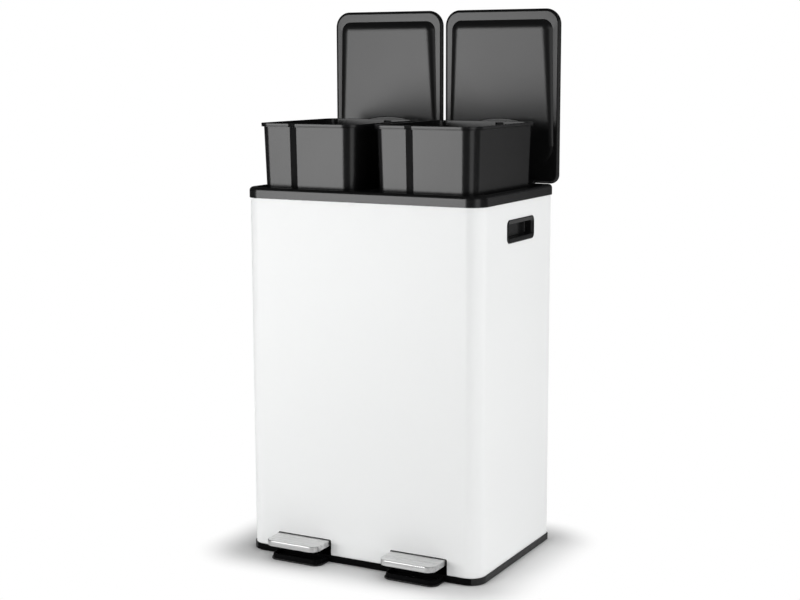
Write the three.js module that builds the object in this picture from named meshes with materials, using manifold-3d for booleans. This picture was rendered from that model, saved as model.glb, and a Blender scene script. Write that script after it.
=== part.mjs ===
// Double recycling bin: a painted sheet-steel cabinet with two lift-out inner buckets,
// two hinged lids and two foot pedals, each pedal lifting its own lid through a push rod.
// Millimetres, +Z up, the front faces -Y. Every height is measured from the floor.
import * as THREE from 'three';
import { mergeVertices } from 'three/addons/utils/BufferGeometryUtils.js';
import Module from 'manifold-3d';

const wasm = await Module();
wasm.setup();

// ---------------------------------------------------------------- driving dimensions

// Fits: cut or resting faces stay this far apart, turning and sliding pieces a little more.
const restGap = 0.3;
const runningGap = 0.4;

// Cabinet plan, shared by the top ring, the base and, set in a little, the steel shell.
const cabinetWidth = 440;
const cabinetDepth = 292;
const frontCornerRadius = 28.5;
const rearCornerRadius = 9;

// Top ring: a flat outer band with a rounded crown above it.
const ringTop = 632;
const ringBandHeight = 14.5;
const ringCrownRadius = 7;
const ringBandWall = 2.1;
const ringDeckThickness = 5;
const pocketChamfer = 5;

// Shell: one wrap of sheet steel between the ring and the base.
const shellInset = 2.2;
const shellThickness = 1;
const shellTopCover = 9;
const seamWidth = 14;
const seamHeight = 0.7;

// Base tray: skirt, floor and an inner wall that holds the foot of the shell.
const skirtTop = 12.3;
const skirtWall = 1.9;
const baseClearOfFloor = 1;
const trayFloorBottom = 2.5;
const trayFloorThickness = 2.5;
const trayInnerWallTop = 20;
const trayInnerWall = 2;

// Foot pads under the tray floor.
const padRadius = 12;
const padFromSide = 32;
const padFromFront = 30;

// Buckets: moulded, drafted, with one narrow strip of the front and rear walls set back.
const bucketFromSide = 20.2;
const bucketFromMiddle = 17;
const bucketFromFront = 19.5;
const bucketFromRear = 33.5;
const bucketHeight = 538;
const bucketCornerRadius = 23.5;
const bucketDraft = 0.03;
const bucketWall = 2.2;
const bucketFloor = 2.6;
const bucketFootRadius = 6;
const setBackDepth = 5;
const setBackEnd = -33;
const setBackSlopeEnd = -17.6;
const rimOverhang = 4.3;
const rimHeight = 6;
const rimPlate = 2;
const rimLip = 1.7;
const bagHoleWidth = 15;
const bagHoleHeight = 6.5;
const bagHoleX = 25.3;
const rimArchWidth = 82;
const rimArchHeight = 5;
const rimArchThickness = 2;
const rimArchX = 24;
// The seated rim lies this far below the ring's top; the buckets are shown lifted from there.
const rimBelowRingTop = 36;
const bucketShownLift = 138.6;

// Pockets in the ring, with the ledge that carries each bucket's rim.
const pocketClearance = 2;
const pocketWall = 1.8;
const passageClearance = 1.2;
const ledgeThickness = 2.2;

// Lids: a domed cover over a liner, whose middle stands proud as a wedge.
const lidGapHalf = 3;
const lidFrontRadius = 27;
const lidRearRadius = 10;
const lidRearBehindRing = 5.2;
const lidEdgeHeight = 3.5;
const lidDomeRadius = 12;
const lidWall = 1.8;
const lidAboveRing = 0.5;
const linerThickness = 2.2;
const linerFrontBorder = 18.7;
const linerSideBorder = 14;
const linerSideBorderRear = 9;
const linerRearBorder = 29.5;
const linerFrontRadius = 17;
const linerRearRadius = 36;
const wedgeFrontHeight = 8.2;
const wedgeRearHeight = 1.4;
const wedgeWallSlope = 1.5;
const lidBossRadius = 4;
const lidBossFromSide = 40;
const lidBossFromEnd = 7;

// Lid hinges, behind the ring's rear face.
const hingeBehindRing = 9.1;
const hingeBelowRingTop = 9.4;
const hingePinRadius = 2.5;
const hingePinHeadRadius = 4;
const hingePinHead = 2;
const hubRadius = 6.5;
const lugInner = 54;
const lugThickness = 8;
const earThickness = 7;
const crankThickness = 12;
const crankReach = 20;
const crankNoseRadius = 4;
const stopHeelReach = 11;
const housingWall = 2;
const housingDepthBelow = 12;
const housingBelowHinge = 1.4;

// Pedals.
const pedalOutward = 0.6;
const pedalWidth = 100;
const pedalFront = 45;
const pedalTop = 37.5;
const pedalLip = 9.5;
const pedalSheet = 1.2;
const pedalCornerRadius = 15;
const pedalEdgeRadius = 2.5;
const pedalRearInside = 3;
const leverWidth = 24;
const leverHeight = 10;
const leverFrontHeight = 6;
const leverSheet = 2;
const leverFront = 26;
const leverBendInside = 8;
const leverPastRod = 5.9;
const leverRearTop = 18.5;
const axleFromFront = 86;
const axleZ = 25;
const axleRadius = 3;
const axleHeadRadius = 4.6;
const axleHead = 2;
const postThickness = 6;
const postHalfWidth = 9;

// Pedal notches in the shell, and the tongue of the base under each pedal.
const notchSideClearance = 2.5;
const notchTop = 40;
const notchCornerRadius = 3;
const wellWall = 1.5;
const wellDepth = 40;
const tongueWidth = 99;
const tongueFront = 34;
const tongueRadius = 15;
const tongueFlangeTop = 3.5;
const tongueFlange = 1.5;
const tongueTop = 11;
const tongueDraft = 1.5;
const tongueWall = 2;

// Push rods inside the rear wall, each in two guide clips.
const rodRadius = 3;
const rodFromRear = 12.5;
const rodHookBend = 6;
const rodHookReach = 16;
const rodHookZ = 13.5;

// Each rod carries a cap ring, and on it the soft spring that lifts the crank of the lid.
const capRadius = 5.6;
const capHeight = 5;
const springWireRadius = 0.7;
const springMeanRadius = 4.4;
const springLength = 46;
const springTurns = 8;
const springEndTurns = 1;
const rodBelowSpringTop = 17;

// Guide clips, snapped through the rear wall.
const guideHeights = [200, 420];
const guideHalfWidth = 9;
const guideHalfHeight = 7;
const guideFrontWall = 2.6;
const guideSpigotRadius = 3;
const guideHeadRadius = 4.5;
const guideHead = 1.3;

// Recessed grips high on both side walls.
const gripCentreY = 11;
const gripCentreZ = 562;
const gripLength = 108;
const gripHeight = 38.5;
const gripRadius = 7;
const gripFrame = 3.3;
const gripProud = 1.6;
const gripDepth = 15;
const gripWall = 1.6;
const gripDraft = 3.5;

// Facets on round work.
const cornerSteps = 5;
const roundSides = 16;

// ---------------------------------------------------------------- sizes that follow

const ringBottom = ringTop - ringCrownRadius - ringBandHeight;
const ringRearY = cabinetDepth / 2;
// Two bays, one bucket, lid and pedal in each, left and right of the middle.
const bucketWidth = cabinetWidth / 2 - bucketFromSide - bucketFromMiddle;
const bucketDepth = cabinetDepth - bucketFromFront - bucketFromRear;
const bucketCentreY = (bucketFromFront - bucketFromRear) / 2;
const bayCentre = bucketFromMiddle + bucketWidth / 2;
const pedalCentre = bayCentre + pedalOutward;
const hingeY = ringRearY + hingeBehindRing;
const hingeZ = ringTop - hingeBelowRingTop;
const pinHoleRadius = hingePinRadius + restGap;
const shellTop = ringBottom + shellTopCover;
const shellBottom = trayFloorBottom + trayFloorThickness + restGap;
const trayFloorTop = trayFloorBottom + trayFloorThickness;
const rimSeatedTop = ringTop - rimBelowRingTop;
const ledgeTop = rimSeatedTop - rimHeight - restGap;
const pedalFrontY = -ringRearY - pedalFront;
const crankDrop = crankReach * Math.SQRT1_2;
const axleY = -ringRearY + axleFromFront;
const rodY = ringRearY - rodFromRear;
const leverBendY = -ringRearY + leverBendInside;
const leverRearEnd = rodY + leverPastRod;
// The spring's rear edge stands under the front half of the crank's nose, clear of the arm.
const noseBehindWire = hingeY - crankDrop - rodY - springMeanRadius;
const noseToWire = crankNoseRadius + springWireRadius + restGap;
const springTop = hingeZ - crankDrop - Math.sqrt(noseToWire ** 2 - noseBehindWire ** 2) + springWireRadius;
const capTop = springTop - springLength - restGap;
const rodTop = springTop - rodBelowSpringTop;
const lidBorderZ = hingeBelowRingTop + lidAboveRing;
const lidTopZ = lidBorderZ + lidEdgeHeight + lidDomeRadius;
const lidFrontY = -ringRearY - hingeY;
const lidRearY = lidRearBehindRing - hingeBehindRing;
const lidHalfWidth = (cabinetWidth / 2 - lidGapHalf) / 2;
const lidCentre = (cabinetWidth / 2 + lidGapHalf) / 2;
const earInner = lugInner + lugThickness + runningGap;
// The origin lies on the floor below the middle of the whole outline, lids open.
const originShift = -(pedalFrontY + hingeY + lidTopZ) / 2;

// ---------------------------------------------------------------- outlines

function arc(cx, cy, radius, fromDegrees, toDegrees, steps) {
  const points = [];
  for (let i = 0; i <= steps; i += 1) {
    const turn = THREE.MathUtils.degToRad(fromDegrees + ((toDegrees - fromDegrees) * i) / steps);
    points.push(new THREE.Vector2(cx + radius * Math.cos(turn), cy + radius * Math.sin(turn)));
  }
  return points;
}

function circle(cx, cy, radius, sides = roundSides) {
  return arc(cx, cy, radius, 0, 360, sides).slice(0, sides);
}

// One corner of an outline: an arc, or a single point where the box has no radius there.
function corner(x, y, radius, from) {
  return radius > 0 ? arc(x, y, radius, from, from + 90, cornerSteps) : [new THREE.Vector2(x, y)];
}

// A rounded rectangle, anticlockwise from its front left corner, all sides moved out by grow.
function roundedBox(plan, grow = 0) {
  const left = plan.left - grow;
  const right = plan.right + grow;
  const front = plan.front - grow;
  const rear = plan.rear + grow;
  const f = plan.frontRadius > 0 ? Math.max(plan.frontRadius + grow, 0.4) : 0;
  const r = plan.rearRadius > 0 ? Math.max(plan.rearRadius + grow, 0.4) : 0;
  return [
    ...corner(left + f, front + f, f, 180),
    ...corner(right - f, front + f, f, 270),
    ...corner(right - r, rear - r, r, 0),
    ...corner(left + r, rear - r, r, 90),
  ];
}

function centredBox(width, depth, frontRadius, rearRadius = frontRadius) {
  return {
    left: -width / 2,
    right: width / 2,
    front: -depth / 2,
    rear: depth / 2,
    frontRadius,
    rearRadius,
  };
}

// The bucket's plan: the front and rear walls step in over a narrow strip on the left.
// Its corners tighten half as fast as its draft draws the walls in.
function bucketPlan(grow = 0) {
  const halfWidth = bucketWidth / 2 + grow;
  const halfDepth = bucketDepth / 2 + grow;
  const r = bucketCornerRadius + Math.max(grow, grow / 2);
  const narrow = halfDepth - setBackDepth;
  return [
    ...arc(-halfWidth + r, -narrow + r, r, 180, 270, cornerSteps),
    new THREE.Vector2(setBackEnd, -narrow),
    new THREE.Vector2(setBackSlopeEnd, -halfDepth),
    ...arc(halfWidth - r, -halfDepth + r, r, 270, 360, cornerSteps),
    ...arc(halfWidth - r, halfDepth - r, r, 0, 90, cornerSteps),
    new THREE.Vector2(setBackSlopeEnd, halfDepth),
    new THREE.Vector2(setBackEnd, narrow),
    ...arc(-halfWidth + r, narrow - r, r, 90, 180, cornerSteps),
  ];
}

// ---------------------------------------------------------------- solids

function toSolid(geometry) {
  const bare = geometry.index ? geometry.toNonIndexed() : geometry.clone();
  bare.deleteAttribute('normal');
  bare.deleteAttribute('uv');
  const merged = mergeVertices(bare, 1e-4);
  return new wasm.Manifold(new wasm.Mesh({
    numProp: 3,
    vertProperties: new Float32Array(merged.attributes.position.array),
    triVerts: new Uint32Array(merged.index.array),
  }));
}

function toGeometry(solid) {
  const data = solid.getMesh();
  const geometry = new THREE.BufferGeometry();
  geometry.setAttribute('position', new THREE.BufferAttribute(data.vertProperties.slice(), 3));
  geometry.setIndex(new THREE.BufferAttribute(data.triVerts.slice(), 1));
  geometry.computeVertexNormals();
  return geometry;
}

function join(...solids) {
  return solids.reduce((whole, solid) => whole.add(solid));
}

function cut(whole, ...cutters) {
  return cutters.reduce((left, cutter) => left.subtract(cutter), whole);
}

function extruded(points, length) {
  return new THREE.ExtrudeGeometry(new THREE.Shape(points), {
    depth: length,
    bevelEnabled: false,
    curveSegments: 1,
  });
}

// Upright prism on an outline in X and Y.
function prism(points, low, high) {
  return toSolid(extruded(points, high - low).translate(0, 0, low));
}

// Prism along X on an outline given as (y, z).
function prismX(points, low, high) {
  const turn = new THREE.Matrix4().makeBasis(
    new THREE.Vector3(0, 1, 0),
    new THREE.Vector3(0, 0, 1),
    new THREE.Vector3(1, 0, 0),
  );
  return toSolid(extruded(points, high - low).applyMatrix4(turn).translate(low, 0, 0));
}

// Prism along Y on an outline given as (x, z).
function prismY(points, low, high) {
  const length = high - low;
  return toSolid(extruded(points, length).rotateX(Math.PI / 2).translate(0, high, 0));
}

// Skin over a stack of rings with the same number of points, flat at both ends.
function loft(rings) {
  const count = rings[0].length;
  const positions = rings.flat().flatMap((p) => [p.x, p.y, p.z]);
  const index = [];
  for (let k = 0; k + 1 < rings.length; k += 1) {
    for (let i = 0; i < count; i += 1) {
      const a = k * count + i;
      const b = k * count + ((i + 1) % count);
      index.push(a, b, b + count, a, b + count, a + count);
    }
  }
  const last = (rings.length - 1) * count;
  for (const [a, b, c] of THREE.ShapeUtils.triangulateShape(rings[0], [])) {
    index.push(a, c, b);
  }
  for (const [a, b, c] of THREE.ShapeUtils.triangulateShape(rings[rings.length - 1], [])) {
    index.push(last + a, last + b, last + c);
  }
  const geometry = new THREE.BufferGeometry();
  geometry.setAttribute('position', new THREE.Float32BufferAttribute(positions, 3));
  geometry.setIndex(index);
  return geometry;
}

function ringAt(points, z) {
  return points.map((p) => new THREE.Vector3(p.x, p.y, z));
}

function box(x0, x1, y0, y1, z0, z1) {
  const geometry = new THREE.BoxGeometry(x1 - x0, y1 - y0, z1 - z0);
  return toSolid(geometry.translate((x0 + x1) / 2, (y0 + y1) / 2, (z0 + z1) / 2));
}

function rodX(x0, x1, y, z, radius) {
  return prismX(circle(y, z, radius), x0, x1);
}

function rodZ(x, y, z0, z1, radius) {
  return prism(circle(x, y, radius), z0, z1);
}

// Outline round two circles, as a flat lever between a hub and a nose.
function leverOutline(hub, hubR, nose, noseR) {
  const along = nose.clone().sub(hub);
  const heading = THREE.MathUtils.radToDeg(along.angle());
  const lean = THREE.MathUtils.radToDeg(Math.acos((hubR - noseR) / along.length()));
  const half = roundSides / 2;
  return [
    ...arc(hub.x, hub.y, hubR, heading + lean, heading + 360 - lean, half),
    ...arc(nose.x, nose.y, noseR, heading - lean, heading + lean, half),
  ];
}

// ---------------------------------------------------------------- materials

const whitePaint = new THREE.MeshStandardMaterial({ color: 0xeeefee, roughness: 0.35, metalness: 0 });
const blackPlastic = new THREE.MeshStandardMaterial({ color: 0x232324, roughness: 0.45, metalness: 0 });
const brushedSteel = new THREE.MeshStandardMaterial({ color: 0xc8c8c6, roughness: 0.35, metalness: 1 });
const zincSteel = new THREE.MeshStandardMaterial({ color: 0x9a9c9e, roughness: 0.4, metalness: 1 });
const rubber = new THREE.MeshStandardMaterial({ color: 0x18181a, roughness: 0.8, metalness: 0 });

const bin = new THREE.Group();
bin.position.y = originShift;

function place(name, solid, material, group = bin) {
  const mesh = new THREE.Mesh(toGeometry(solid), material);
  mesh.name = name;
  group.add(mesh);
  return mesh;
}

const sides = [{ word: 'left', sign: -1 }, { word: 'right', sign: 1 }];
const cabinetPlan = centredBox(cabinetWidth, cabinetDepth, frontCornerRadius, rearCornerRadius);

// ---------------------------------------------------------------- steel shell

function shellCutters() {
  const cutters = [];
  const notchHalf = pedalWidth / 2 + notchSideClearance;
  const spigotHole = guideSpigotRadius + restGap;
  for (const { sign } of sides) {
    const pedalX = sign * pedalCentre;
    const notch = centredBox(2 * notchHalf, 2 * notchTop, notchCornerRadius);
    const notchPoints = roundedBox(notch).map((p) => new THREE.Vector2(p.x + pedalX, p.y));
    cutters.push(prismY(notchPoints, -ringRearY, -ringRearY + wellDepth));
    const window = centredBox(gripLength - 2 * gripFrame, gripHeight - 2 * gripFrame, gripRadius - gripFrame);
    const windowPoints = roundedBox(window).map((p) => new THREE.Vector2(p.x + gripCentreY, p.y + gripCentreZ));
    const wallX = (sign * cabinetWidth) / 2;
    cutters.push(prismX(windowPoints, wallX - gripDepth, wallX + gripDepth));
    const bayX = sign * bayCentre;
    const slotHalf = crankThickness / 2 + housingWall;
    const slotBottom = springTop - restGap - housingWall;
    cutters.push(box(bayX - slotHalf, bayX + slotHalf, rodY, hingeY, slotBottom, ringTop));
    for (const height of guideHeights) {
      cutters.push(prismY(circle(bayX, height, spigotHole), rodY, hingeY));
    }
  }
  return cutters;
}

function makeShell() {
  const outer = prism(roundedBox(cabinetPlan, -shellInset), shellBottom, shellTop);
  const inner = prism(roundedBox(cabinetPlan, -shellInset - shellThickness), shellBottom - 1, shellTop + 1);
  const wallRear = ringRearY - shellInset;
  const seam = box(
    -seamWidth / 2,
    seamWidth / 2,
    wallRear - shellThickness / 2,
    wallRear + seamHeight,
    skirtTop + restGap,
    ringBottom - restGap,
  );
  return cut(join(cut(outer, inner), seam), ...shellCutters());
}

place('body_shell', makeShell(), whitePaint);

// ---------------------------------------------------------------- top ring

function bayBox(grow) {
  const corner = bucketCornerRadius + grow;
  const plan = centredBox(bucketWidth + 2 * grow, bucketDepth + 2 * grow, corner);
  return roundedBox(plan);
}

function atBay(points, sign) {
  return points.map((p) => new THREE.Vector2(p.x + sign * bayCentre, p.y + bucketCentreY));
}

function ringCrown() {
  const bandTop = ringBottom + ringBandHeight;
  const rings = [ringAt(roundedBox(cabinetPlan), ringBottom)];
  const steps = 4;
  for (let i = 0; i <= steps; i += 1) {
    const turn = (Math.PI / 2) * (i / steps);
    const grow = -ringCrownRadius * (1 - Math.cos(turn));
    rings.push(ringAt(roundedBox(cabinetPlan, grow), bandTop + ringCrownRadius * Math.sin(turn)));
  }
  return toSolid(loft(rings));
}

// Box behind the ring that shields the crank and carries the middle of the hinge pin.
function crankHousing(bayX) {
  const inside = crankThickness / 2 + 1.5;
  const outside = inside + housingWall;
  const front = ringRearY - shellInset + restGap;
  const rear = hingeY + hubRadius + runningGap + housingWall;
  const bottom = ringBottom - housingDepthBelow;
  const top = hingeZ + hubRadius - 1;
  const bend = 6;
  const profile = [
    new THREE.Vector2(front, bottom),
    new THREE.Vector2(rear - bend, bottom),
    new THREE.Vector2(rear, bottom + bend),
    new THREE.Vector2(rear, hingeZ - housingBelowHinge),
    new THREE.Vector2(rear - housingWall, hingeZ - housingBelowHinge),
    new THREE.Vector2(hingeY + hingePinRadius, top),
    new THREE.Vector2(front, top),
  ];
  const hollow = [
    new THREE.Vector2(front - 1, bottom + housingWall),
    new THREE.Vector2(rear - bend - 1, bottom + housingWall),
    new THREE.Vector2(rear - housingWall, bottom + bend + 1),
    new THREE.Vector2(rear - housingWall, top + 1),
    new THREE.Vector2(front - 1, top + 1),
  ];
  return cut(prismX(profile, bayX - outside, bayX + outside), prismX(hollow, bayX - inside, bayX + inside));
}

function hingeLug(middleX) {
  const rear = circle(hingeY, hingeZ, hubRadius);
  const web = [
    new THREE.Vector2(ringRearY - ringBandWall, ringBottom + 1),
    new THREE.Vector2(hingeY, hingeZ - hubRadius),
    new THREE.Vector2(hingeY, hingeZ + hubRadius),
    new THREE.Vector2(ringRearY - ringBandWall, ringBottom + ringBandHeight),
  ];
  const low = middleX - lugThickness / 2;
  return join(prismX(rear, low, low + lugThickness), prismX(web, low, low + lugThickness));
}

function makeRing() {
  const undercut = prism(roundedBox(cabinetPlan, -ringBandWall), ringBottom - 1, ringTop - ringDeckThickness);
  let ring = cut(ringCrown(), undercut);
  const rimGrow = rimOverhang + pocketClearance;
  for (const { sign } of sides) {
    const collar = prism(atBay(bayBox(rimGrow + pocketWall), sign), ledgeTop - ledgeThickness, ringTop - 2);
    ring = join(ring, collar);
  }
  for (const { sign } of sides) {
    const bayX = sign * bayCentre;
    const pocket = prism(atBay(bayBox(rimGrow), sign), ledgeTop, ringTop + 1);
    const passage = prism(atBay(bayBox(passageClearance), sign), ledgeTop - ledgeThickness - 1, ledgeTop + 1);
    const slotHalf = crankThickness / 2 + 1.5;
    const chamfer = toSolid(loft([
      ringAt(atBay(bayBox(rimGrow), sign), ringTop - pocketChamfer),
      ringAt(atBay(bayBox(rimGrow + pocketChamfer), sign), ringTop),
      ringAt(atBay(bayBox(rimGrow + pocketChamfer), sign), ringTop + 1),
    ]));
    const slotFront = rodY - springMeanRadius - springWireRadius - restGap - 0.7;
    const slot = box(bayX - slotHalf, bayX + slotHalf, slotFront, hingeY, ringBottom - 1, ringTop + 1);
    ring = cut(ring, pocket, chamfer, passage, slot);
    ring = join(ring, crankHousing(bayX));
    for (const lugSign of [-1, 1]) {
      ring = join(ring, hingeLug(bayX + lugSign * (lugInner + lugThickness / 2)));
    }
    const reach = lugInner + lugThickness + 1;
    ring = cut(ring, rodX(bayX - reach, bayX + reach, hingeY, hingeZ, pinHoleRadius));
  }
  return ring;
}

place('top_ring', makeRing(), blackPlastic);

// ---------------------------------------------------------------- base tray

function tonguePlan(sign, grow, front = tongueFront) {
  const half = tongueWidth / 2;
  const plan = {
    left: sign * pedalCentre - half,
    right: sign * pedalCentre + half,
    front: -ringRearY - front,
    rear: -ringRearY + 2 * skirtWall,
    frontRadius: tongueRadius,
    rearRadius: 0,
  };
  return roundedBox(plan, grow);
}

function makeTongue(sign) {
  const wallBottom = -tongueFlange;
  const wallTop = -tongueFlange - tongueDraft;
  const flange = prism(tonguePlan(sign, 0), baseClearOfFloor, tongueFlangeTop);
  const wall = toSolid(loft([
    ringAt(tonguePlan(sign, wallBottom), tongueFlangeTop - 1),
    ringAt(tonguePlan(sign, wallTop), tongueTop),
  ]));
  return join(flange, wall);
}

function tongueHollow(sign) {
  return prism(tonguePlan(sign, -tongueFlange - tongueDraft - tongueWall), tongueFlangeTop, notchTop);
}

// Inverted U behind the notch, so that nothing of the inside shows round the pedal.
function pedalWell(sign) {
  const inside = pedalWidth / 2 + notchSideClearance + 1;
  const outside = inside + wellWall;
  const front = -ringRearY + shellInset + shellThickness + restGap;
  const pedalX = sign * pedalCentre;
  const top = notchTop + 1 + wellWall;
  const whole = box(pedalX - outside, pedalX + outside, front, front + wellDepth, trayFloorTop - 1, top);
  const hollow = box(pedalX - inside, pedalX + inside, front - 1, front + wellDepth + 1, trayFloorTop, top - wellWall);
  return { whole, hollow };
}

function bearingPosts(sign) {
  const posts = [];
  const inner = leverWidth / 2 + runningGap;
  const outline = [
    new THREE.Vector2(axleY - postHalfWidth, trayFloorTop - 1),
    new THREE.Vector2(axleY + postHalfWidth, trayFloorTop - 1),
    ...arc(axleY, axleZ, axleRadius + 3.5, 0, 180, 8),
  ];
  for (const side of [-1, 1]) {
    const middle = sign * pedalCentre + side * (inner + postThickness / 2);
    posts.push(prismX(outline, middle - postThickness / 2, middle + postThickness / 2));
  }
  return posts;
}

function makeBase() {
  const skirt = prism(roundedBox(cabinetPlan), baseClearOfFloor, skirtTop);
  const below = prism(roundedBox(cabinetPlan, -skirtWall), baseClearOfFloor - 1, trayFloorBottom);
  const above = prism(roundedBox(cabinetPlan, -skirtWall), trayFloorTop, skirtTop + 1);
  const shellInner = -shellInset - shellThickness - restGap;
  const innerWall = cut(
    prism(roundedBox(cabinetPlan, shellInner), trayFloorBottom, trayInnerWallTop),
    prism(roundedBox(cabinetPlan, shellInner - trayInnerWall), trayFloorTop, trayInnerWallTop + 1),
  );
  let base = join(cut(skirt, below, above), cut(innerWall, below));
  for (const { sign } of sides) {
    const well = pedalWell(sign);
    base = join(base, makeTongue(sign), well.whole, ...bearingPosts(sign));
    base = cut(base, tongueHollow(sign), well.hollow);
    const reach = leverWidth / 2 + runningGap + postThickness + 1;
    const pedalX = sign * pedalCentre;
    base = cut(base, rodX(pedalX - reach, pedalX + reach, axleY, axleZ, axleRadius + restGap));
  }
  return base;
}

place('base_tray', makeBase(), blackPlastic);

const padOutline = [
  new THREE.Vector2(0, 0),
  new THREE.Vector2(padRadius - 1, 0),
  new THREE.Vector2(padRadius, 1),
  new THREE.Vector2(padRadius, trayFloorBottom - restGap),
  new THREE.Vector2(0, trayFloorBottom - restGap),
];
for (const { word, sign } of sides) {
  for (const [end, endSign] of [['front', -1], ['rear', 1]]) {
    const lathe = new THREE.LatheGeometry(padOutline, roundSides).rotateX(Math.PI / 2);
    const pad = place(`foot_pad_${end}_${word}`, toSolid(lathe), rubber);
    pad.position.x = sign * (cabinetWidth / 2 - padFromSide);
    pad.position.y = endSign * (cabinetDepth / 2 - padFromFront);
  }
}

// ---------------------------------------------------------------- recessed grips

function gripRing(length, height, radius, distance) {
  return ringAt(roundedBox(centredBox(length, height, Math.max(radius, 1))), distance);
}

function makeGrip() {
  const windowLength = gripLength - 2 * gripFrame - 2 * restGap;
  const windowHeight = gripHeight - 2 * gripFrame - 2 * restGap;
  const bodyRadius = gripRadius - gripFrame;
  const frame = toSolid(loft([
    gripRing(gripLength, gripHeight, gripRadius, restGap),
    gripRing(gripLength, gripHeight, gripRadius, gripProud - 0.6),
    gripRing(gripLength - 1.2, gripHeight - 1.2, gripRadius - 0.6, gripProud),
  ]));
  const body = toSolid(loft([
    gripRing(windowLength - gripDraft, windowHeight - gripDraft, bodyRadius, -gripDepth),
    gripRing(windowLength, windowHeight, bodyRadius, -shellThickness - 1),
    gripRing(windowLength, windowHeight, bodyRadius, restGap + 0.2),
  ]));
  const inner = 2 * gripWall;
  const mouth = 1.5;
  const cup = toSolid(loft([
    gripRing(windowLength - gripDraft - inner, windowHeight - gripDraft - inner, bodyRadius, gripWall - gripDepth),
    gripRing(windowLength - inner, windowHeight - inner, bodyRadius, 0),
    gripRing(windowLength + mouth, windowHeight + mouth, bodyRadius + mouth, gripProud + 0.1),
  ]));
  const towardsX = new THREE.Matrix4().makeBasis(
    new THREE.Vector3(0, 1, 0),
    new THREE.Vector3(0, 0, 1),
    new THREE.Vector3(1, 0, 0),
  );
  return toGeometry(cut(join(frame, body), cup)).applyMatrix4(towardsX);
}

const gripGeometry = makeGrip();
for (const { word, sign } of sides) {
  const grip = new THREE.Mesh(gripGeometry, blackPlastic);
  grip.name = `side_grip_${word}`;
  grip.position.set(sign * (cabinetWidth / 2 - shellInset), gripCentreY, gripCentreZ);
  grip.rotation.z = sign > 0 ? 0 : Math.PI;
  bin.add(grip);
}

// ---------------------------------------------------------------- buckets

function bucketBody() {
  const foot = -bucketDraft * bucketHeight;
  const rings = [];
  const steps = 3;
  for (let i = 0; i <= steps; i += 1) {
    const turn = (Math.PI / 2) * (i / steps);
    const grow = foot - bucketFootRadius * (1 - Math.sin(turn));
    rings.push(ringAt(bucketPlan(grow), bucketFootRadius * (1 - Math.cos(turn)) - bucketHeight));
  }
  rings.push(ringAt(bucketPlan(0), 0));
  return toSolid(loft(rings));
}

function bucketHollow() {
  const floor = bucketFloor - bucketHeight;
  const foot = -bucketDraft * (bucketHeight - bucketFloor) - bucketWall;
  return toSolid(loft([
    ringAt(bucketPlan(foot - bucketFootRadius / 2), floor),
    ringAt(bucketPlan(foot), floor + bucketFootRadius / 2),
    ringAt(bucketPlan(-bucketWall), 1),
  ]));
}

function makeBucket() {
  const rim = cut(
    prism(bucketPlan(rimOverhang), -rimHeight, 0),
    prism(bucketPlan(rimOverhang - rimLip), -rimHeight - 1, -rimPlate),
  );
  const rearEdge = bucketDepth / 2 + rimOverhang;
  const rise = rimArchHeight;
  const half = rimArchWidth / 2;
  const archRadius = (half * half + rise * rise) / (2 * rise);
  const spread = THREE.MathUtils.radToDeg(Math.asin(half / archRadius));
  const archPoints = [
    new THREE.Vector2(rimArchX - half, -rimPlate / 2),
    new THREE.Vector2(rimArchX + half, -rimPlate / 2),
    ...arc(rimArchX, rise - archRadius, archRadius, 90 - spread, 90 + spread, 12),
  ];
  const arch = prismY(archPoints, rearEdge - rimArchThickness, rearEdge);
  const holeLow = -rimPlate - bagHoleHeight;
  const hole = box(
    bagHoleX - bagHoleWidth / 2,
    bagHoleX + bagHoleWidth / 2,
    bucketDepth / 2 - 2 * bucketWall - 1,
    rearEdge + 1,
    holeLow,
    -rimPlate,
  );
  return cut(join(bucketBody(), rim, arch), bucketHollow(), hole);
}

const bucketSolid = makeBucket();
for (const { word, sign } of sides) {
  const bucket = place(`bucket_${word}`, bucketSolid, blackPlastic);
  bucket.position.set(sign * bayCentre, bucketCentreY, rimSeatedTop + bucketShownLift);
}

// ---------------------------------------------------------------- lids
// Each lid is drawn closed, measured from its hinge axis, and stands open in its own group.

const lidPlan = {
  left: -lidHalfWidth,
  right: lidHalfWidth,
  front: lidFrontY,
  rear: lidRearY,
  frontRadius: lidFrontRadius,
  rearRadius: lidRearRadius,
};

function domeRings(inset, low, edgeTop, radius) {
  const rings = [ringAt(roundedBox(lidPlan, -inset), low)];
  const steps = 4;
  for (let i = 0; i <= steps; i += 1) {
    const turn = (Math.PI / 2) * (i / steps);
    const grow = -inset - radius * (1 - Math.cos(turn));
    rings.push(ringAt(roundedBox(lidPlan, grow), edgeTop + radius * Math.sin(turn)));
  }
  return rings;
}

function makeCover() {
  const edgeTop = lidBorderZ + lidEdgeHeight;
  const outer = toSolid(loft(domeRings(0, lidBorderZ, edgeTop, lidDomeRadius)));
  const inner = toSolid(loft(domeRings(lidWall, lidBorderZ - 1, edgeTop, lidDomeRadius - lidWall)));
  const bosses = [];
  const bossBottom = lidBorderZ + linerThickness + restGap;
  for (const x of [-1, 1]) {
    for (const y of [lidFrontY + lidBossFromEnd, lidRearY - lidBossFromEnd - lidBossRadius]) {
      const bossX = x * (lidHalfWidth - lidBossFromSide);
      bosses.push(rodZ(bossX, y, bossBottom, lidTopZ, lidBossRadius));
    }
  }
  return join(cut(outer, inner), ...bosses.map((boss) => boss.intersect(outer)));
}

// How far the wedge stands out of the border, by distance behind the lid's front edge.
function wedgeHeight(y) {
  const share = (y - lidFrontY) / (lidRearY - lidFrontY);
  return wedgeFrontHeight + (wedgeRearHeight - wedgeFrontHeight) * share;
}

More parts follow.
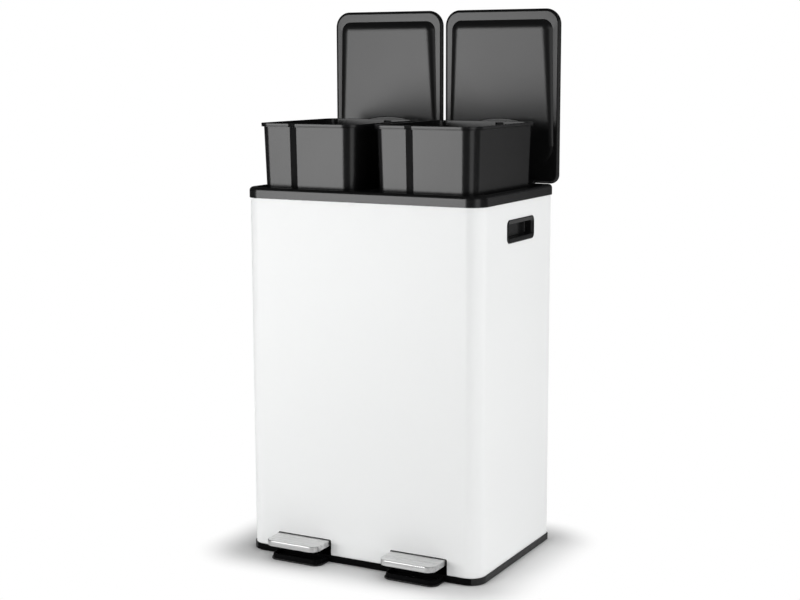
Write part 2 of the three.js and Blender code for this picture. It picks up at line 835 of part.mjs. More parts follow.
function wedgeFoot() {
  const plan = {
    left: -lidHalfWidth + linerSideBorder,
    right: lidHalfWidth - linerSideBorder,
    front: lidFrontY + linerFrontBorder,
    rear: lidRearY - linerRearBorder,
    frontRadius: linerFrontRadius,
    rearRadius: linerRearRadius,
  };
  const spread = linerSideBorder - linerSideBorderRear;
  return roundedBox(plan).map((p) => {
    const share = (p.y - plan.front) / (plan.rear - plan.front);
    const widen = 1 + (spread / plan.right) * share;
    return new THREE.Vector2(p.x * widen, p.y);
  });
}

// One ring of the wedge: share 0 is its foot on the border and 1 the edge of its raised face.
function wedgeRing(share, drop, inset) {
  const foot = wedgeFoot();
  const middleY = (lidFrontY + lidRearY) / 2;
  return foot.map((p) => {
    const height = wedgeHeight(p.y);
    const back = wedgeWallSlope * height * share + inset;
    const halfLength = Math.abs(p.y - middleY);
    const x = p.x * (1 - back / lidHalfWidth);
    const y = middleY + (p.y - middleY) * (1 - back / halfLength);
    return new THREE.Vector3(x, halfLength > lidHalfWidth ? y : p.y, lidBorderZ - height * share + drop);
  });
}

function makeWedge(inset, drop, top) {
  const foot = wedgeRing(0, 0, inset).map((p) => new THREE.Vector3(p.x, p.y, top));
  return toSolid(loft([wedgeRing(1, drop, inset), wedgeRing(0.12, drop, inset), foot]));
}

// Side view of what joins the hinge hub to the liner's rear border, (y, z) from the axis.
function hingeWeb() {
  const plateTop = lidBorderZ + linerThickness / 2;
  const linerRear = lidRearY - lidWall - restGap;
  const under = lidBorderZ - restGap;
  const frontFace = runningGap + restGap - hingeBehindRing;
  return [
    new THREE.Vector2(frontFace - 2.1, lidBorderZ),
    new THREE.Vector2(frontFace, hubRadius - 1.5),
    new THREE.Vector2(frontFace, 1),
    new THREE.Vector2(-hubRadius + 0.5, -1),
    new THREE.Vector2(1, 0),
    new THREE.Vector2(1, hubRadius - 0.1),
    new THREE.Vector2(-1, under - 1),
    new THREE.Vector2(linerRear, under),
    new THREE.Vector2(linerRear, plateTop),
    new THREE.Vector2(frontFace - 2.1, plateTop),
  ];
}

// The heel swings under the hub and meets the ring's rear face when the lid stands open.
function stopHeel() {
  const face = restGap - hingeBehindRing;
  return [
    new THREE.Vector2(0, 0),
    new THREE.Vector2(hubRadius / 2, -hubRadius * 0.8),
    new THREE.Vector2(hubRadius, face),
    new THREE.Vector2(stopHeelReach, face),
    new THREE.Vector2(stopHeelReach, face + 3),
    new THREE.Vector2(hubRadius, 0),
  ];
}

function makeLiner(baySide) {
  const plate = prism(
    roundedBox(lidPlan, -lidWall - restGap),
    lidBorderZ,
    lidBorderZ + linerThickness,
  );
  const plateTop = lidBorderZ + linerThickness;
  const raised = makeWedge(0, 0, lidBorderZ + linerThickness / 2);
  const hollow = makeWedge(linerThickness, linerThickness, plateTop + 1);
  let liner = cut(join(plate, raised), hollow);
  const bayX = baySide * (bayCentre - lidCentre);
  for (const side of [-1, 1]) {
    const inner = bayX + side * earInner;
    const low = Math.min(inner, inner + side * earThickness);
    const high = low + earThickness;
    const hub = rodX(low, high, 0, 0, hubRadius);
    liner = join(liner, hub, prismX(hingeWeb(), low, high), prismX(stopHeel(), low, high));
  }
  const low = bayX - crankThickness / 2;
  const high = bayX + crankThickness / 2;
  const nose = new THREE.Vector2(-crankDrop, -crankDrop);
  const arm = leverOutline(new THREE.Vector2(0, 0), hubRadius - 1, nose, crankNoseRadius);
  liner = join(liner, rodX(low, high, 0, 0, hubRadius), prismX(hingeWeb(), low, high), prismX(arm, low, high));
  const reach = earInner + earThickness + 1;
  return cut(liner, rodX(bayX - reach, bayX + reach, 0, 0, pinHoleRadius));
}

for (const { word, sign } of sides) {
  const lid = new THREE.Group();
  lid.position.set(sign * lidCentre, hingeY, hingeZ);
  lid.rotation.x = -Math.PI / 2;
  bin.add(lid);
  place(`lid_cover_${word}`, makeCover(), blackPlastic, lid);
  place(`lid_liner_${word}`, makeLiner(sign), blackPlastic, lid);
  const pinEnd = earInner + earThickness + 1;
  const bayX = sign * bayCentre;
  const shank = rodX(bayX - pinEnd, bayX + pinEnd, hingeY, hingeZ, hingePinRadius);
  const headStart = bayX + sign * pinEnd;
  const headLow = Math.min(headStart, headStart + sign * hingePinHead);
  const head = rodX(headLow, headLow + hingePinHead, hingeY, hingeZ, hingePinHeadRadius);
  place(`lid_hinge_pin_${word}`, join(shank, head), zincSteel);
}

// ---------------------------------------------------------------- pedals

function pedalRings(grow, low, high, edge) {
  const plan = {
    left: -pedalWidth / 2,
    right: pedalWidth / 2,
    front: pedalFrontY,
    rear: -ringRearY + pedalRearInside,
    frontRadius: pedalCornerRadius,
    rearRadius: 0,
  };
  const rings = [ringAt(roundedBox(plan, grow), low)];
  const steps = 3;
  for (let i = 0; i <= steps; i += 1) {
    const turn = (Math.PI / 2) * (i / steps);
    const z = high - edge + edge * Math.sin(turn);
    rings.push(ringAt(roundedBox(plan, grow - edge * (1 - Math.cos(turn))), z));
  }
  return rings;
}

function makeTread() {
  const outer = toSolid(loft(pedalRings(0, pedalTop - pedalLip, pedalTop, pedalEdgeRadius)));
  const innerRings = pedalRings(
    -pedalSheet,
    pedalTop - pedalLip - 1,
    pedalTop - pedalSheet,
    pedalEdgeRadius - pedalSheet,
  );
  const inner = toSolid(loft(innerRings));
  const openRear = box(
    pedalSheet - pedalWidth / 2,
    pedalWidth / 2 - pedalSheet,
    -ringRearY,
    -ringRearY + pedalRearInside + 1,
    pedalTop - pedalLip - 1,
    pedalTop - pedalSheet,
  );
  return cut(outer, inner, openRear);
}

// The lever's side view: level under the tread, then straight down to the push rod.
function leverSide(drop) {
  const top = pedalTop - pedalSheet - restGap;
  const front = -ringRearY - leverFront;
  return [
    new THREE.Vector2(front, top - leverFrontHeight),
    new THREE.Vector2(-ringRearY, top - leverFrontHeight),
    new THREE.Vector2(leverBendY, top - leverHeight),
    new THREE.Vector2(leverRearEnd, leverRearTop - leverHeight),
    new THREE.Vector2(leverRearEnd, leverRearTop - drop),
    new THREE.Vector2(leverBendY, top - drop),
    new THREE.Vector2(front, top - drop),
  ];
}

function makeLever() {
  const half = leverWidth / 2;
  const bar = prismX(leverSide(0), -half, half);
  const channelPoints = leverSide(leverSheet);
  for (const point of channelPoints.slice(0, 4)) {
    point.y -= 1;
  }
  channelPoints[3].x += 1;
  channelPoints[4].x += 1;
  const channel = prismX(channelPoints, leverSheet - half, half - leverSheet);
  const rodRoom = rodRadius + rodHookBend;
  const rearOpen = box(leverSheet - half, half - leverSheet, rodY - rodRoom, leverRearEnd + 1, 0, pedalTop);
  const slotRadius = rodRadius + runningGap;
  const slot = [
    ...arc(rodY + 0.4, rodHookZ, slotRadius, -90, 90, 8),
    ...arc(rodY - 0.4, rodHookZ, slotRadius, 90, 270, 8),
  ];
  return cut(
    bar,
    channel,
    rearOpen,
    prismX(slot, -half - 1, half + 1),
    rodX(-half - 1, half + 1, axleY, axleZ, axleRadius + restGap),
  );
}

function makeAxle() {
  const end = leverWidth / 2 + runningGap + postThickness + restGap;
  return join(
    rodX(-end, end, axleY, axleZ, axleRadius),
    rodX(-end - axleHead, -end, axleY, axleZ, axleHeadRadius),
    rodX(end, end + axleHead, axleY, axleZ, axleHeadRadius),
  );
}

for (const { word, sign } of sides) {
  place(`pedal_tread_${word}`, makeTread(), brushedSteel).position.x = sign * pedalCentre;
  place(`pedal_lever_${word}`, makeLever(), zincSteel).position.x = sign * pedalCentre;
  place(`pedal_axle_${word}`, makeAxle(), zincSteel).position.x = sign * pedalCentre;
}

// ---------------------------------------------------------------- push rods

// A round bar along a list of points that lie in one upright plane, facing Y.
function bar(points, radius) {
  return points.map((point, i) => {
    const before = points[Math.max(i - 1, 0)];
    const after = points[Math.min(i + 1, points.length - 1)];
    const along = after.clone().sub(before).normalize();
    const across = new THREE.Vector3(0, 1, 0);
    const other = across.clone().cross(along);
    return circle(0, 0, radius, 12).map((p) => point.clone()
      .addScaledVector(other, p.x)
      .addScaledVector(across, p.y));
  });
}

// Skin over the rings of a bar or wire, with a fan at both ends.
function wireSkin(rings) {
  const count = rings[0].length;
  const positions = rings.flat().flatMap((p) => [p.x, p.y, p.z]);
  const index = [];
  for (let k = 0; k + 1 < rings.length; k += 1) {
    for (let i = 0; i < count; i += 1) {
      const a = k * count + i;
      const b = k * count + ((i + 1) % count);
      index.push(a, b, b + count, a, b + count, a + count);
    }
  }
  const last = (rings.length - 1) * count;
  for (let i = 1; i + 1 < count; i += 1) {
    index.push(0, i + 1, i, last, last + i, last + i + 1);
  }
  const geometry = new THREE.BufferGeometry();
  geometry.setAttribute('position', new THREE.Float32BufferAttribute(positions, 3));
  geometry.setIndex(index);
  return toSolid(geometry);
}

// The rod hangs on the bay's line; its foot turns outwards through the lever's slot.
function makeRod() {
  const points = [new THREE.Vector3(rodHookReach, rodY, rodHookZ)];
  for (const p of arc(rodHookBend, rodHookZ + rodHookBend, rodHookBend, 270, 180, 5)) {
    points.push(new THREE.Vector3(p.x, rodY, p.y));
  }
  points.push(new THREE.Vector3(0, rodY, rodTop));
  return wireSkin(bar(points, rodRadius));
}

// The ring that is fixed on the rod and carries the spring.
function makeCap() {
  const ring = rodZ(0, rodY, capTop - capHeight, capTop, capRadius);
  return cut(ring, rodZ(0, rodY, capTop - capHeight - 1, capTop + 1, rodRadius + restGap));
}

// Coil spring: open turns between an almost closed turn at each end.
function makeSpring() {
  const steps = 8;
  const sides = 5;
  const endRise = springEndTurns * (2 * springWireRadius + restGap);
  const run = springLength - 2 * springWireRadius - 2 * endRise;
  const total = springTurns + 2 * springEndTurns;
  const rings = [];
  for (let i = 0; i <= total * steps; i += 1) {
    const turn = i / steps;
    const open = Math.min(Math.max(turn - springEndTurns, 0), springTurns);
    const closed = turn - open;
    const rise = (closed * endRise) / springEndTurns + (open * run) / springTurns;
    const z = springTop - springLength + springWireRadius + rise;
    const heading = 2 * Math.PI * turn + Math.PI / 2;
    const out = new THREE.Vector3(Math.cos(heading), Math.sin(heading), 0);
    rings.push(circle(0, 0, springWireRadius, sides).map((p) => new THREE.Vector3(0, rodY, z)
      .addScaledVector(out, springMeanRadius + p.x)
      .add(new THREE.Vector3(0, 0, -p.y))));
  }
  return wireSkin(rings);
}

function makeGuide() {
  const wallInner = ringRearY - shellInset - shellThickness;
  const wallOuter = ringRearY - shellInset;
  const front = rodY - rodRadius - runningGap - guideFrontWall;
  const rear = wallInner - restGap;
  const block = box(-guideHalfWidth, guideHalfWidth, front, rear, -guideHalfHeight, guideHalfHeight);
  const spigot = prismY(circle(0, 0, guideSpigotRadius), rear - 1, wallOuter + restGap + 0.5);
  const headStart = wallOuter + restGap;
  const head = prismY(circle(0, 0, guideHeadRadius), headStart, headStart + guideHead);
  const bore = rodZ(0, rodY, -guideHalfHeight - 1, guideHalfHeight + 1, rodRadius + runningGap);
  return cut(join(block, spigot, head), bore);
}

for (const { word, sign } of sides) {
  const bayX = sign * bayCentre;
  place(`push_rod_${word}`, makeRod(), zincSteel).position.x = bayX;
  place(`push_rod_cap_${word}`, makeCap(), blackPlastic).position.x = bayX;
  place(`push_rod_spring_${word}`, makeSpring(), zincSteel).position.x = bayX;
  for (const [i, height] of guideHeights.entries()) {
    const guide = place(`rod_guide_${i === 0 ? 'lower' : 'upper'}_${word}`, makeGuide(), blackPlastic);
    guide.position.set(bayX, 0, height);
  }
}

export default bin;
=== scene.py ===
import math
from functools import partial

import bmesh
import bpy
from mathutils import Matrix, Vector


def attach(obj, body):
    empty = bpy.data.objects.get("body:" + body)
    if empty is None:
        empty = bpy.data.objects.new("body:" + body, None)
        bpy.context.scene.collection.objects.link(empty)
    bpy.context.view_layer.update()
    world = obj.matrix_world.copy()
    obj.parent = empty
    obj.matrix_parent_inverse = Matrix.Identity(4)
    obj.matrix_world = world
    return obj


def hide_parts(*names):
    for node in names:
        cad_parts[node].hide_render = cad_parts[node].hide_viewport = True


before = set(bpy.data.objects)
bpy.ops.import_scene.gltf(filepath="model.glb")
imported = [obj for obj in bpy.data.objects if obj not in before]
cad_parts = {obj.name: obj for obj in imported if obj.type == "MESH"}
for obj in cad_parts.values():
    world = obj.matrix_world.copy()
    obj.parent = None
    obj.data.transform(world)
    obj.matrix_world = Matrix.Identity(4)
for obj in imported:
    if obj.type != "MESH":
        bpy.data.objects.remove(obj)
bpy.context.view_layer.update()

# ---------------------------------------------------------------- base tray
# The bin stands on one black injection-moulded tray. It has a low skirt that hides the foot
# of the steel wrap, a kerb that holds it, a tongue on the floor below each pedal, and posts
# that carry the pedal axles. All sizes are in millimetres.

MM = 0.001
SIDES = ((-1, "left"), (1, "right"))
CABINET_WIDTH, CABINET_DEPTH = 440, 292
FRONT_CORNER, REAR_CORNER = 28.5, 9
FRONT_Y, REAR_Y = -CABINET_DEPTH / 2, CABINET_DEPTH / 2
# The model's origin lies this far in front of the middle of the cabinet.
CABINET_BACK = 5.25
# The wrap's outer face lies this far out from the cabinet's plan, and its sheet is this thick.
SHELL_OUT, SHEET = -2.2, 1


def arc(cx, cy, radius, start, end, steps=14):
    """Points along a circle, from one angle to another, in degrees."""
    turns = (math.radians(start + (end - start) * i / steps) for i in range(steps + 1))
    return [(cx + radius * math.cos(t), cy + radius * math.sin(t)) for t in turns]


def full_circle(cx, cy, radius):
    return arc(cx, cy, radius, 0, 345, 23)


def rounded(left, right, front, rear, front_radius, rear_radius, grow=0, steps=14):
    """A rounded rectangle seen from above, anticlockwise from its front left corner."""
    left, right, front, rear = left - grow, right + grow, front - grow, rear + grow
    f = max(front_radius + grow, 0.3) if front_radius else 0.02
    r = max(rear_radius + grow, 0.3) if rear_radius else 0.02
    return (arc(left + f, front + f, f, 180, 270, steps)
            + arc(right - f, front + f, f, 270, 360, steps)
            + arc(right - r, rear - r, r, 0, 90, steps)
            + arc(left + r, rear - r, r, 90, 180, steps))


def cabinet(grow=0):
    """The cabinet's plan, moved out by grow."""
    return rounded(-CABINET_WIDTH / 2, CABINET_WIDTH / 2, FRONT_Y, REAR_Y, FRONT_CORNER,
                   REAR_CORNER, grow, 20)


def level(points, z):
    return [(x, y, z) for x, y in points]


def rounding(radius, start, end, steps):
    """(outward, upward) steps of a quarter round, from one angle to another."""
    return arc(0, 0, radius, start, end, steps)


def round_off(plan, grow, z, radius, start, end, steps):
    """Rings of a rounded edge. Its centre lies at the plan moved out by grow, at height z."""
    return [level(plan(grow + out), z + up) for out, up in rounding(radius, start, end, steps)]


def skin(rings, tube=False):
    """Vertices and faces of a closed skin over rings with equal counts of points."""
    count = len(rings[0])
    points = [p for ring in rings for p in ring]
    faces = []
    spans = len(rings) if tube else len(rings) - 1
    for k in range(spans):
        low, high = k * count, ((k + 1) % len(rings)) * count
        for i in range(count):
            j = (i + 1) % count
            faces.append((low + i, low + j, high + j, high + i))
    if not tube:
        last = (len(rings) - 1) * count
        faces.append(tuple(reversed(range(count))))
        faces.append(tuple(range(last, last + count)))
    return points, faces


def prism(points, low, high):
    return skin([level(points, low), level(points, high)])


def prism_x(points, near, far):
    """A prism along X on an outline given as (y, z)."""
    return skin([[(x, y, z) for y, z in points] for x in sorted((near, far))])


def prism_y(points, front, rear):
    """A prism along Y on an outline given as (x, z)."""
    return skin([[(x, y, z) for x, z in points] for y in (rear, front)])


def block(x0, x1, y0, y1, z0, z1):
    return prism([(x0, y0), (x1, y0), (x1, y1), (x0, y1)], z0, z1)


def linked(name, data):
    """A new object on the given data, linked to the scene."""
    item = bpy.data.objects.new(name, data)
    bpy.context.scene.collection.objects.link(item)
    return item


def body_of(form):
    """A plain object from a skin in millimetres, set in the model's frame."""
    points, faces = form
    mesh = bpy.data.meshes.new("form")
    mesh.from_pydata([(x * MM, (y + CABINET_BACK) * MM, z * MM) for x, y, z in points], [], faces)
    mesh.update()
    return linked("form", mesh)


def settle(item):
    """Turns an object's modifiers into plain mesh."""
    bpy.context.view_layer.update()
    done = item.evaluated_get(bpy.context.evaluated_depsgraph_get())
    mesh = bpy.data.meshes.new_from_object(done)
    item.modifiers.clear()
    old = item.data
    item.data = mesh
    bpy.data.meshes.remove(old)


def work(item, steps):
    """Cuts and joins forms one after another, each step a pair of operation and form."""
    for operation, form in steps:
        tool = body_of(form)
        change = item.modifiers.new("work", "BOOLEAN")
        change.operation = operation
        change.solver = "EXACT"
        change.object = tool
        settle(item)
        bpy.data.objects.remove(tool)


def cut(form):
    return "DIFFERENCE", form


def add(form):
    return "UNION", form


def dress(item, name, finish, body, nodes, sharp=32):
    """Names a piece, smooths its shading below the sharp angle, and puts it on its body."""
    item.name = name
    item.data.name = name
    mesh = item.data
    mesh.polygons.foreach_set("use_smooth", [True] * len(mesh.polygons))
    mesh.set_sharp_from_angle(angle=math.radians(sharp))
    even = item.modifiers.new("even", "WEIGHTED_NORMAL")
    even.keep_sharp = True
    even.weight = 80
    settle(item)
    item.data.materials.clear()
    item.data.materials.append(finish)
    for face in item.data.polygons:
        face.material_index = 0
    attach(item, body)
    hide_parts(*nodes)


class Wire:
    """A socket of a node tree. Sums and products of wires and numbers add Math nodes."""

    def __init__(self, owner, socket):
        self.owner, self.socket = owner, socket

    def maths(self, operation, first, second):
        return self.owner.maths(operation, first, second)

    def __add__(self, other):
        return self.maths("ADD", self, other)

    def __sub__(self, other):
        return self.maths("SUBTRACT", self, other)

    def __rsub__(self, other):
        return self.maths("SUBTRACT", other, self)

    def __mul__(self, other):
        return self.maths("MULTIPLY", self, other)

    __radd__ = __add__
    __rmul__ = __mul__


class Nodes:
    """A node tree whose nodes all come from one method."""

    def __init__(self, tree):
        self.tree = tree
        tree.nodes.clear()

    def node(self, kind, inputs=None, out=0, **settings):
        """Adds a node and gives the wire of one of its outputs, if it has any."""
        item = self.tree.nodes.new(kind)
        for key, value in settings.items():
            setattr(item, key, value)
        for key, value in (inputs or {}).items():
            if isinstance(value, Wire):
                self.tree.links.new(value.socket, item.inputs[key])
            else:
                item.inputs[key].default_value = value
        return Wire(self, item.outputs[out]) if len(item.outputs) else None

    def maths(self, operation, first, second):
        return self.node("ShaderNodeMath", {0: first, 1: second}, operation=operation)


class Finish(Nodes):
    """A material built from nodes."""

    def __init__(self, name):
        self.material = bpy.data.materials.new(name)
        self.material.use_nodes = True
        super().__init__(self.material.node_tree)

    def place(self, scale=(1, 1, 1)):
        """Object coordinates in metres, stretched by scale."""
        here = self.node("ShaderNodeTexCoord", out="Object")
        return self.node("ShaderNodeMapping", {"Vector": here, "Scale": scale})

    def noise(self, where, scale, detail, roughness=0.5):
        values = {"Vector": where, "Scale": scale, "Detail": detail, "Roughness": roughness}
        return self.node("ShaderNodeTexNoise", values)

    def blend(self, share, low, high):
        return self.node("ShaderNodeMix", {0: share, 6: low, 7: high}, out=2, data_type="RGBA")

    def bump(self, height, distance, strength):
        values = {"Height": height, "Distance": distance, "Strength": strength}
        return self.node("ShaderNodeBump", values)

    def surface(self, **inputs):
        values = {key.replace("_", " "): value for key, value in inputs.items()}
        shader = self.node("ShaderNodeBsdfPrincipled", values)
        self.node("ShaderNodeOutputMaterial", {"Surface": shader})
        return self.material


def moulded_black(name, dark, pale, roughness, shine=0.5):
    """Black injection-moulded plastic with a fine eroded grain."""
    finish = Finish(name)
    here = finish.place()
    fine = finish.noise(here, 1900, 2)
    broad = finish.noise(here, 9, 4)
    # Both noises average a half, so 0.055 less makes the sum average the roughness asked for.
    rough = broad * 0.06 + fine * 0.05 + (roughness - 0.055)
    return finish.surface(Base_Color=finish.blend(broad, dark + (1,), pale + (1,)), Roughness=rough,
                          Specular_IOR_Level=shine, Normal=finish.bump(fine, 0.00003, 0.35))


black = moulded_black("moulded_black", (0.004, 0.004, 0.0043), (0.0065, 0.0065, 0.0068), 0.25)
matt_black = moulded_black("matt_black", (0.003, 0.003, 0.0032), (0.005, 0.005, 0.0052), 0.4,
                           shine=0.42)
# A darker, rougher copy of the black that hardly reflects: painted shade for the tongues' walls
# under the treads.
textured_black = moulded_black("textured_black", (0.002, 0.002, 0.0022), (0.003, 0.003, 0.0032),
                               0.6, shine=0.03)

SKIRT_TOP, SKIRT_WALL, CLEAR_OF_FLOOR = 12.3, 1.9, 1
LOW_EDGE, HIGH_EDGE = 0.8, 0.6
TRAY_LOW, TRAY_HIGH = 2.5, 5.0
KERB_TOP, KERB_WALL, KERB_GAP = 20, 2, 0.3
PEDAL_X = 109
TONGUE = dict(width=99, front=34, radius=15, edge=0.5, flange_top=3.5, flange=1.5, top=11,
              draft=1.5, wall=2)
WELL_HALF, WELL_TOP, WELL_DEPTH, WELL_WALL, WELL_BACK = 53.5, 41, 40, 1.5, 3.5
PIVOT_Y, PIVOT_Z, LEVER_HALF, AXLE_HOLE = -60, 25, 12, 3.3
POST_FOOT, POST_RADIUS, POST_WALL, POST_GAP = 9, 6.5, 6, 0.4


def tongue_plan(side, grow):
    middle, half = side * PEDAL_X, TONGUE["width"] / 2
    return rounded(middle - half, middle + half, FRONT_Y - TONGUE["front"], FRONT_Y + 4,
                   TONGUE["radius"], 0, grow)


def tongue(side):
    """The floor tongue under a pedal: a thin flange and a drafted wall with a round top edge."""
    plan, edge, flange_top = partial(tongue_plan, side), TONGUE["edge"], TONGUE["flange_top"]
    wall = -TONGUE["flange"]
    rings = [level(plan(-edge), CLEAR_OF_FLOOR)]
    rings += round_off(plan, -edge, CLEAR_OF_FLOOR + edge, edge, -90, 0, 3)
    rings += round_off(plan, -edge, flange_top - edge, edge, 0, 90, 3)
    rings += [level(plan(wall), flange_top)]
    rings += round_off(plan, wall - TONGUE["draft"] - 1, TONGUE["top"] - 1, 1, 0, 90, 4)
    return skin(rings)


def tongue_hollow(side):
    inset = -TONGUE["flange"] - TONGUE["draft"] - TONGUE["wall"]
    return prism(tongue_plan(side, inset), TONGUE["flange_top"], 40)


skirt = [level(cabinet(-LOW_EDGE), CLEAR_OF_FLOOR)]
skirt += round_off(cabinet, -LOW_EDGE, CLEAR_OF_FLOOR + LOW_EDGE, LOW_EDGE, -90, 0, 4)
skirt += round_off(cabinet, -HIGH_EDGE, SKIRT_TOP - HIGH_EDGE, HIGH_EDGE, 0, 90, 4)
tray = body_of(skin(skirt))
kerb_out = SHELL_OUT - SHEET - KERB_GAP
kerb = [(kerb_out, TRAY_LOW + 1), (kerb_out, KERB_TOP), (kerb_out - KERB_WALL, KERB_TOP),
        (kerb_out - KERB_WALL, TRAY_LOW + 1)]
work(tray, [
    cut(prism(cabinet(-SKIRT_WALL), CLEAR_OF_FLOOR - 2, TRAY_LOW)),
    cut(prism(cabinet(-SKIRT_WALL), TRAY_HIGH, SKIRT_TOP + 2)),
    add(skin([level(cabinet(grow), z) for grow, z in kerb], tube=True)),
])
for side in (-1, 1):
    middle = side * PEDAL_X
    near, far, hood = FRONT_Y + WELL_BACK, FRONT_Y + WELL_BACK + WELL_DEPTH, WELL_HALF + WELL_WALL
    work(tray, [
        add(block(middle - hood, middle + hood, near, far, TRAY_HIGH - 1, WELL_TOP + WELL_WALL)),
        cut(block(middle - WELL_HALF, middle + WELL_HALF, near - 1, far + 1, TRAY_HIGH, WELL_TOP)),
        add(tongue(side)),
        cut(tongue_hollow(side)),
    ])
    post = [(PIVOT_Y - POST_FOOT, TRAY_HIGH - 1), (PIVOT_Y + POST_FOOT, TRAY_HIGH - 1)]
    post += arc(PIVOT_Y, PIVOT_Z, POST_RADIUS, 0, 180, 12)
    for half in (-1, 1):
        near = middle + half * (LEVER_HALF + POST_GAP)
        work(tray, [add(prism_x(post, near, near + half * POST_WALL))])
    axle_hole = full_circle(PIVOT_Y, PIVOT_Z, AXLE_HOLE)
    work(tray, [cut(prism_x(axle_hole, middle - 20, middle + 20))])
dress(tray, "base_tray_moulding", matt_black, "cabinet", ["base_tray"])
# The tongues' walls, in front of the cabinet and above the flange, get a darker copy of the black
# that hardly reflects: painted shade under the treads.
tray.data.materials.append(textured_black)
for face in tray.data.polygons:
    ahead = face.center.y < (FRONT_Y + CABINET_BACK + 3) * MM
    if ahead and face.center.z > (TONGUE["flange_top"] + 0.3) * MM:
        face.material_index = 1

# ---------------------------------------------------------------- foot pads
# Four turned rubber pads are pressed into the underside of the tray and lift it 1 mm clear
# of the floor, which leaves the thin dark line that the photo shows under the skirt.

rubber = moulded_black("matt_rubber", (0.012, 0.012, 0.012), (0.02, 0.02, 0.02), 0.75)


class Form(Nodes):
    """A Geometry Nodes tree with named sizes in millimetres, run once and kept as plain mesh."""

    def __init__(self, name, **sizes):
        super().__init__(bpy.data.node_groups.new(name, "GeometryNodeTree"))
        self.name, self.sizes = name, sizes
        faces = self.tree.interface
        for word in sizes:
            faces.new_socket(word, in_out="INPUT", socket_type="NodeSocketFloat")
        faces.new_socket("Geometry", in_out="OUTPUT", socket_type="NodeSocketGeometry")
        self.size = {word: self.node("NodeGroupInput", out=word) for word in sizes}

    def vector(self, x=0.0, y=0.0, z=0.0):
        return self.node("ShaderNodeCombineXYZ", {0: x, 1: y, 2: z})

    def made(self, geometry, material):
        """Closes the tree, runs it, and gives its result as one object of plain mesh."""
        real = self.node("GeometryNodeRealizeInstances", {"Geometry": geometry})
        last = self.node("GeometryNodeSetMaterial", {"Geometry": real, "Material": material})
        self.node("NodeGroupOutput", {0: last})
        item = linked(self.name, bpy.data.meshes.new(self.name))
        run = item.modifiers.new("form", "NODES")
        run.node_group = self.tree
        for socket in self.tree.interface.items_tree:
            if socket.in_out == "INPUT":
                run[socket.identifier] = float(self.sizes[socket.name]) * MM
        settle(item)
        whole = bmesh.new()
        whole.from_mesh(item.data)
        bmesh.ops.remove_doubles(whole, verts=whole.verts, dist=0.000001)
        bmesh.ops.recalc_face_normals(whole, faces=whole.faces)
        whole.to_mesh(item.data)
        whole.free()
        return item


# One pad is turned on its axis by the radius of the curve, which swells from its lower edge.
pads = Form("foot_pads", radius=12, edge=1, height=2.3, from_side=32, from_front=30,
            width=CABINET_WIDTH, depth=CABINET_DEPTH, shift=CABINET_BACK)
size = pads.size
axis = pads.node("GeometryNodeCurvePrimitiveLine",
                 {"Start": pads.vector(), "End": pads.vector(z=size["height"])})
axis = pads.node("GeometryNodeResampleCurve", {"Curve": axis, "Count": 13})
up_axis = pads.node("GeometryNodeSplineParameter", out="Factor")
swell = pads.node("ShaderNodeMapRange", {0: up_axis, 1: 0.0, 2: 0.45, 3: 0.0, 4: 1.0},
                  interpolation_type="SMOOTHERSTEP")
turned = pads.node("GeometryNodeSetCurveRadius",
                   {"Curve": axis, "Radius": size["radius"] - size["edge"] * (1 - swell)})
circle = pads.node("GeometryNodeCurvePrimitiveCircle", {"Resolution": 40, "Radius": 1.0})
pad = pads.node("GeometryNodeCurveToMesh",
                {"Curve": turned, "Profile Curve": circle, "Fill Caps": True,
                 "Scale": pads.node("GeometryNodeInputRadius")})
corners = pads.node("GeometryNodeMeshGrid", {"Size X": size["width"] - 2 * size["from_side"],
                                             "Size Y": size["depth"] - 2 * size["from_front"],
                                             "Vertices X": 2, "Vertices Y": 2})
corners = pads.node("GeometryNodeSetPosition",
                    {"Geometry": corners, "Offset": pads.vector(y=size["shift"])})
four = pads.node("GeometryNodeInstanceOnPoints", {"Points": corners, "Instance": pad})
dress(pads.made(four, rubber), "foot_pads", rubber, "cabinet",
      ["foot_pad_front_left", "foot_pad_front_right", "foot_pad_rear_left", "foot_pad_rear_right"])

# ---------------------------------------------------------------- cabinet wrap
# One sheet of 1 mm steel is rolled round the cabinet, lock-seamed at the middle of the rear
# wall, powder coated in satin white, and pierced for the pedals, grips, cranks and guides.

white = Finish("white_powder_coat")
here = white.place()
peel = white.noise(here, 420, 2)
drift = white.noise(here, 3.5, 2)
white_coat = white.surface(
    Base_Color=white.blend(drift, (0.83, 0.84, 0.838, 1), (0.855, 0.862, 0.86, 1)),
    Roughness=drift * 0.05 + peel * 0.03 + 0.3,
    Specular_IOR_Level=0.37,
    Normal=white.bump(peel, 0.00003, 0.25),
)

SHELL_LOW, SHELL_HIGH = 5.3, 619.5
NOTCH_HALF, NOTCH_TOP, NOTCH_RADIUS = 52.5, 38.8, 3
GRIP_Y, GRIP_Z = 11, 563.3
WINDOW_HALF_Y, WINDOW_HALF_Z, WINDOW_RADIUS = 50.7, 15.95, 3.7
BAY_X = 108.4
CRANK_SLOT_HALF, CRANK_SLOT_LOW = 8, 602.9
GUIDE_HEIGHTS, GUIDE_HOLE = (200, 420), 3.3
REAR_CUT = (130, 150)
SEAM_HALF, SEAM_PROUD, SEAM_TOP = 7, 0.7, 610.2

wrap = Form("steel_wrap", width=CABINET_WIDTH + 2 * SHELL_OUT, depth=CABINET_DEPTH + 2 * SHELL_OUT,
            front_bend=FRONT_CORNER + SHELL_OUT, rear_bend=REAR_CORNER + SHELL_OUT, sheet=SHEET,
            low=SHELL_LOW, high=SHELL_HIGH, shift=CABINET_BACK)
size = wrap.size
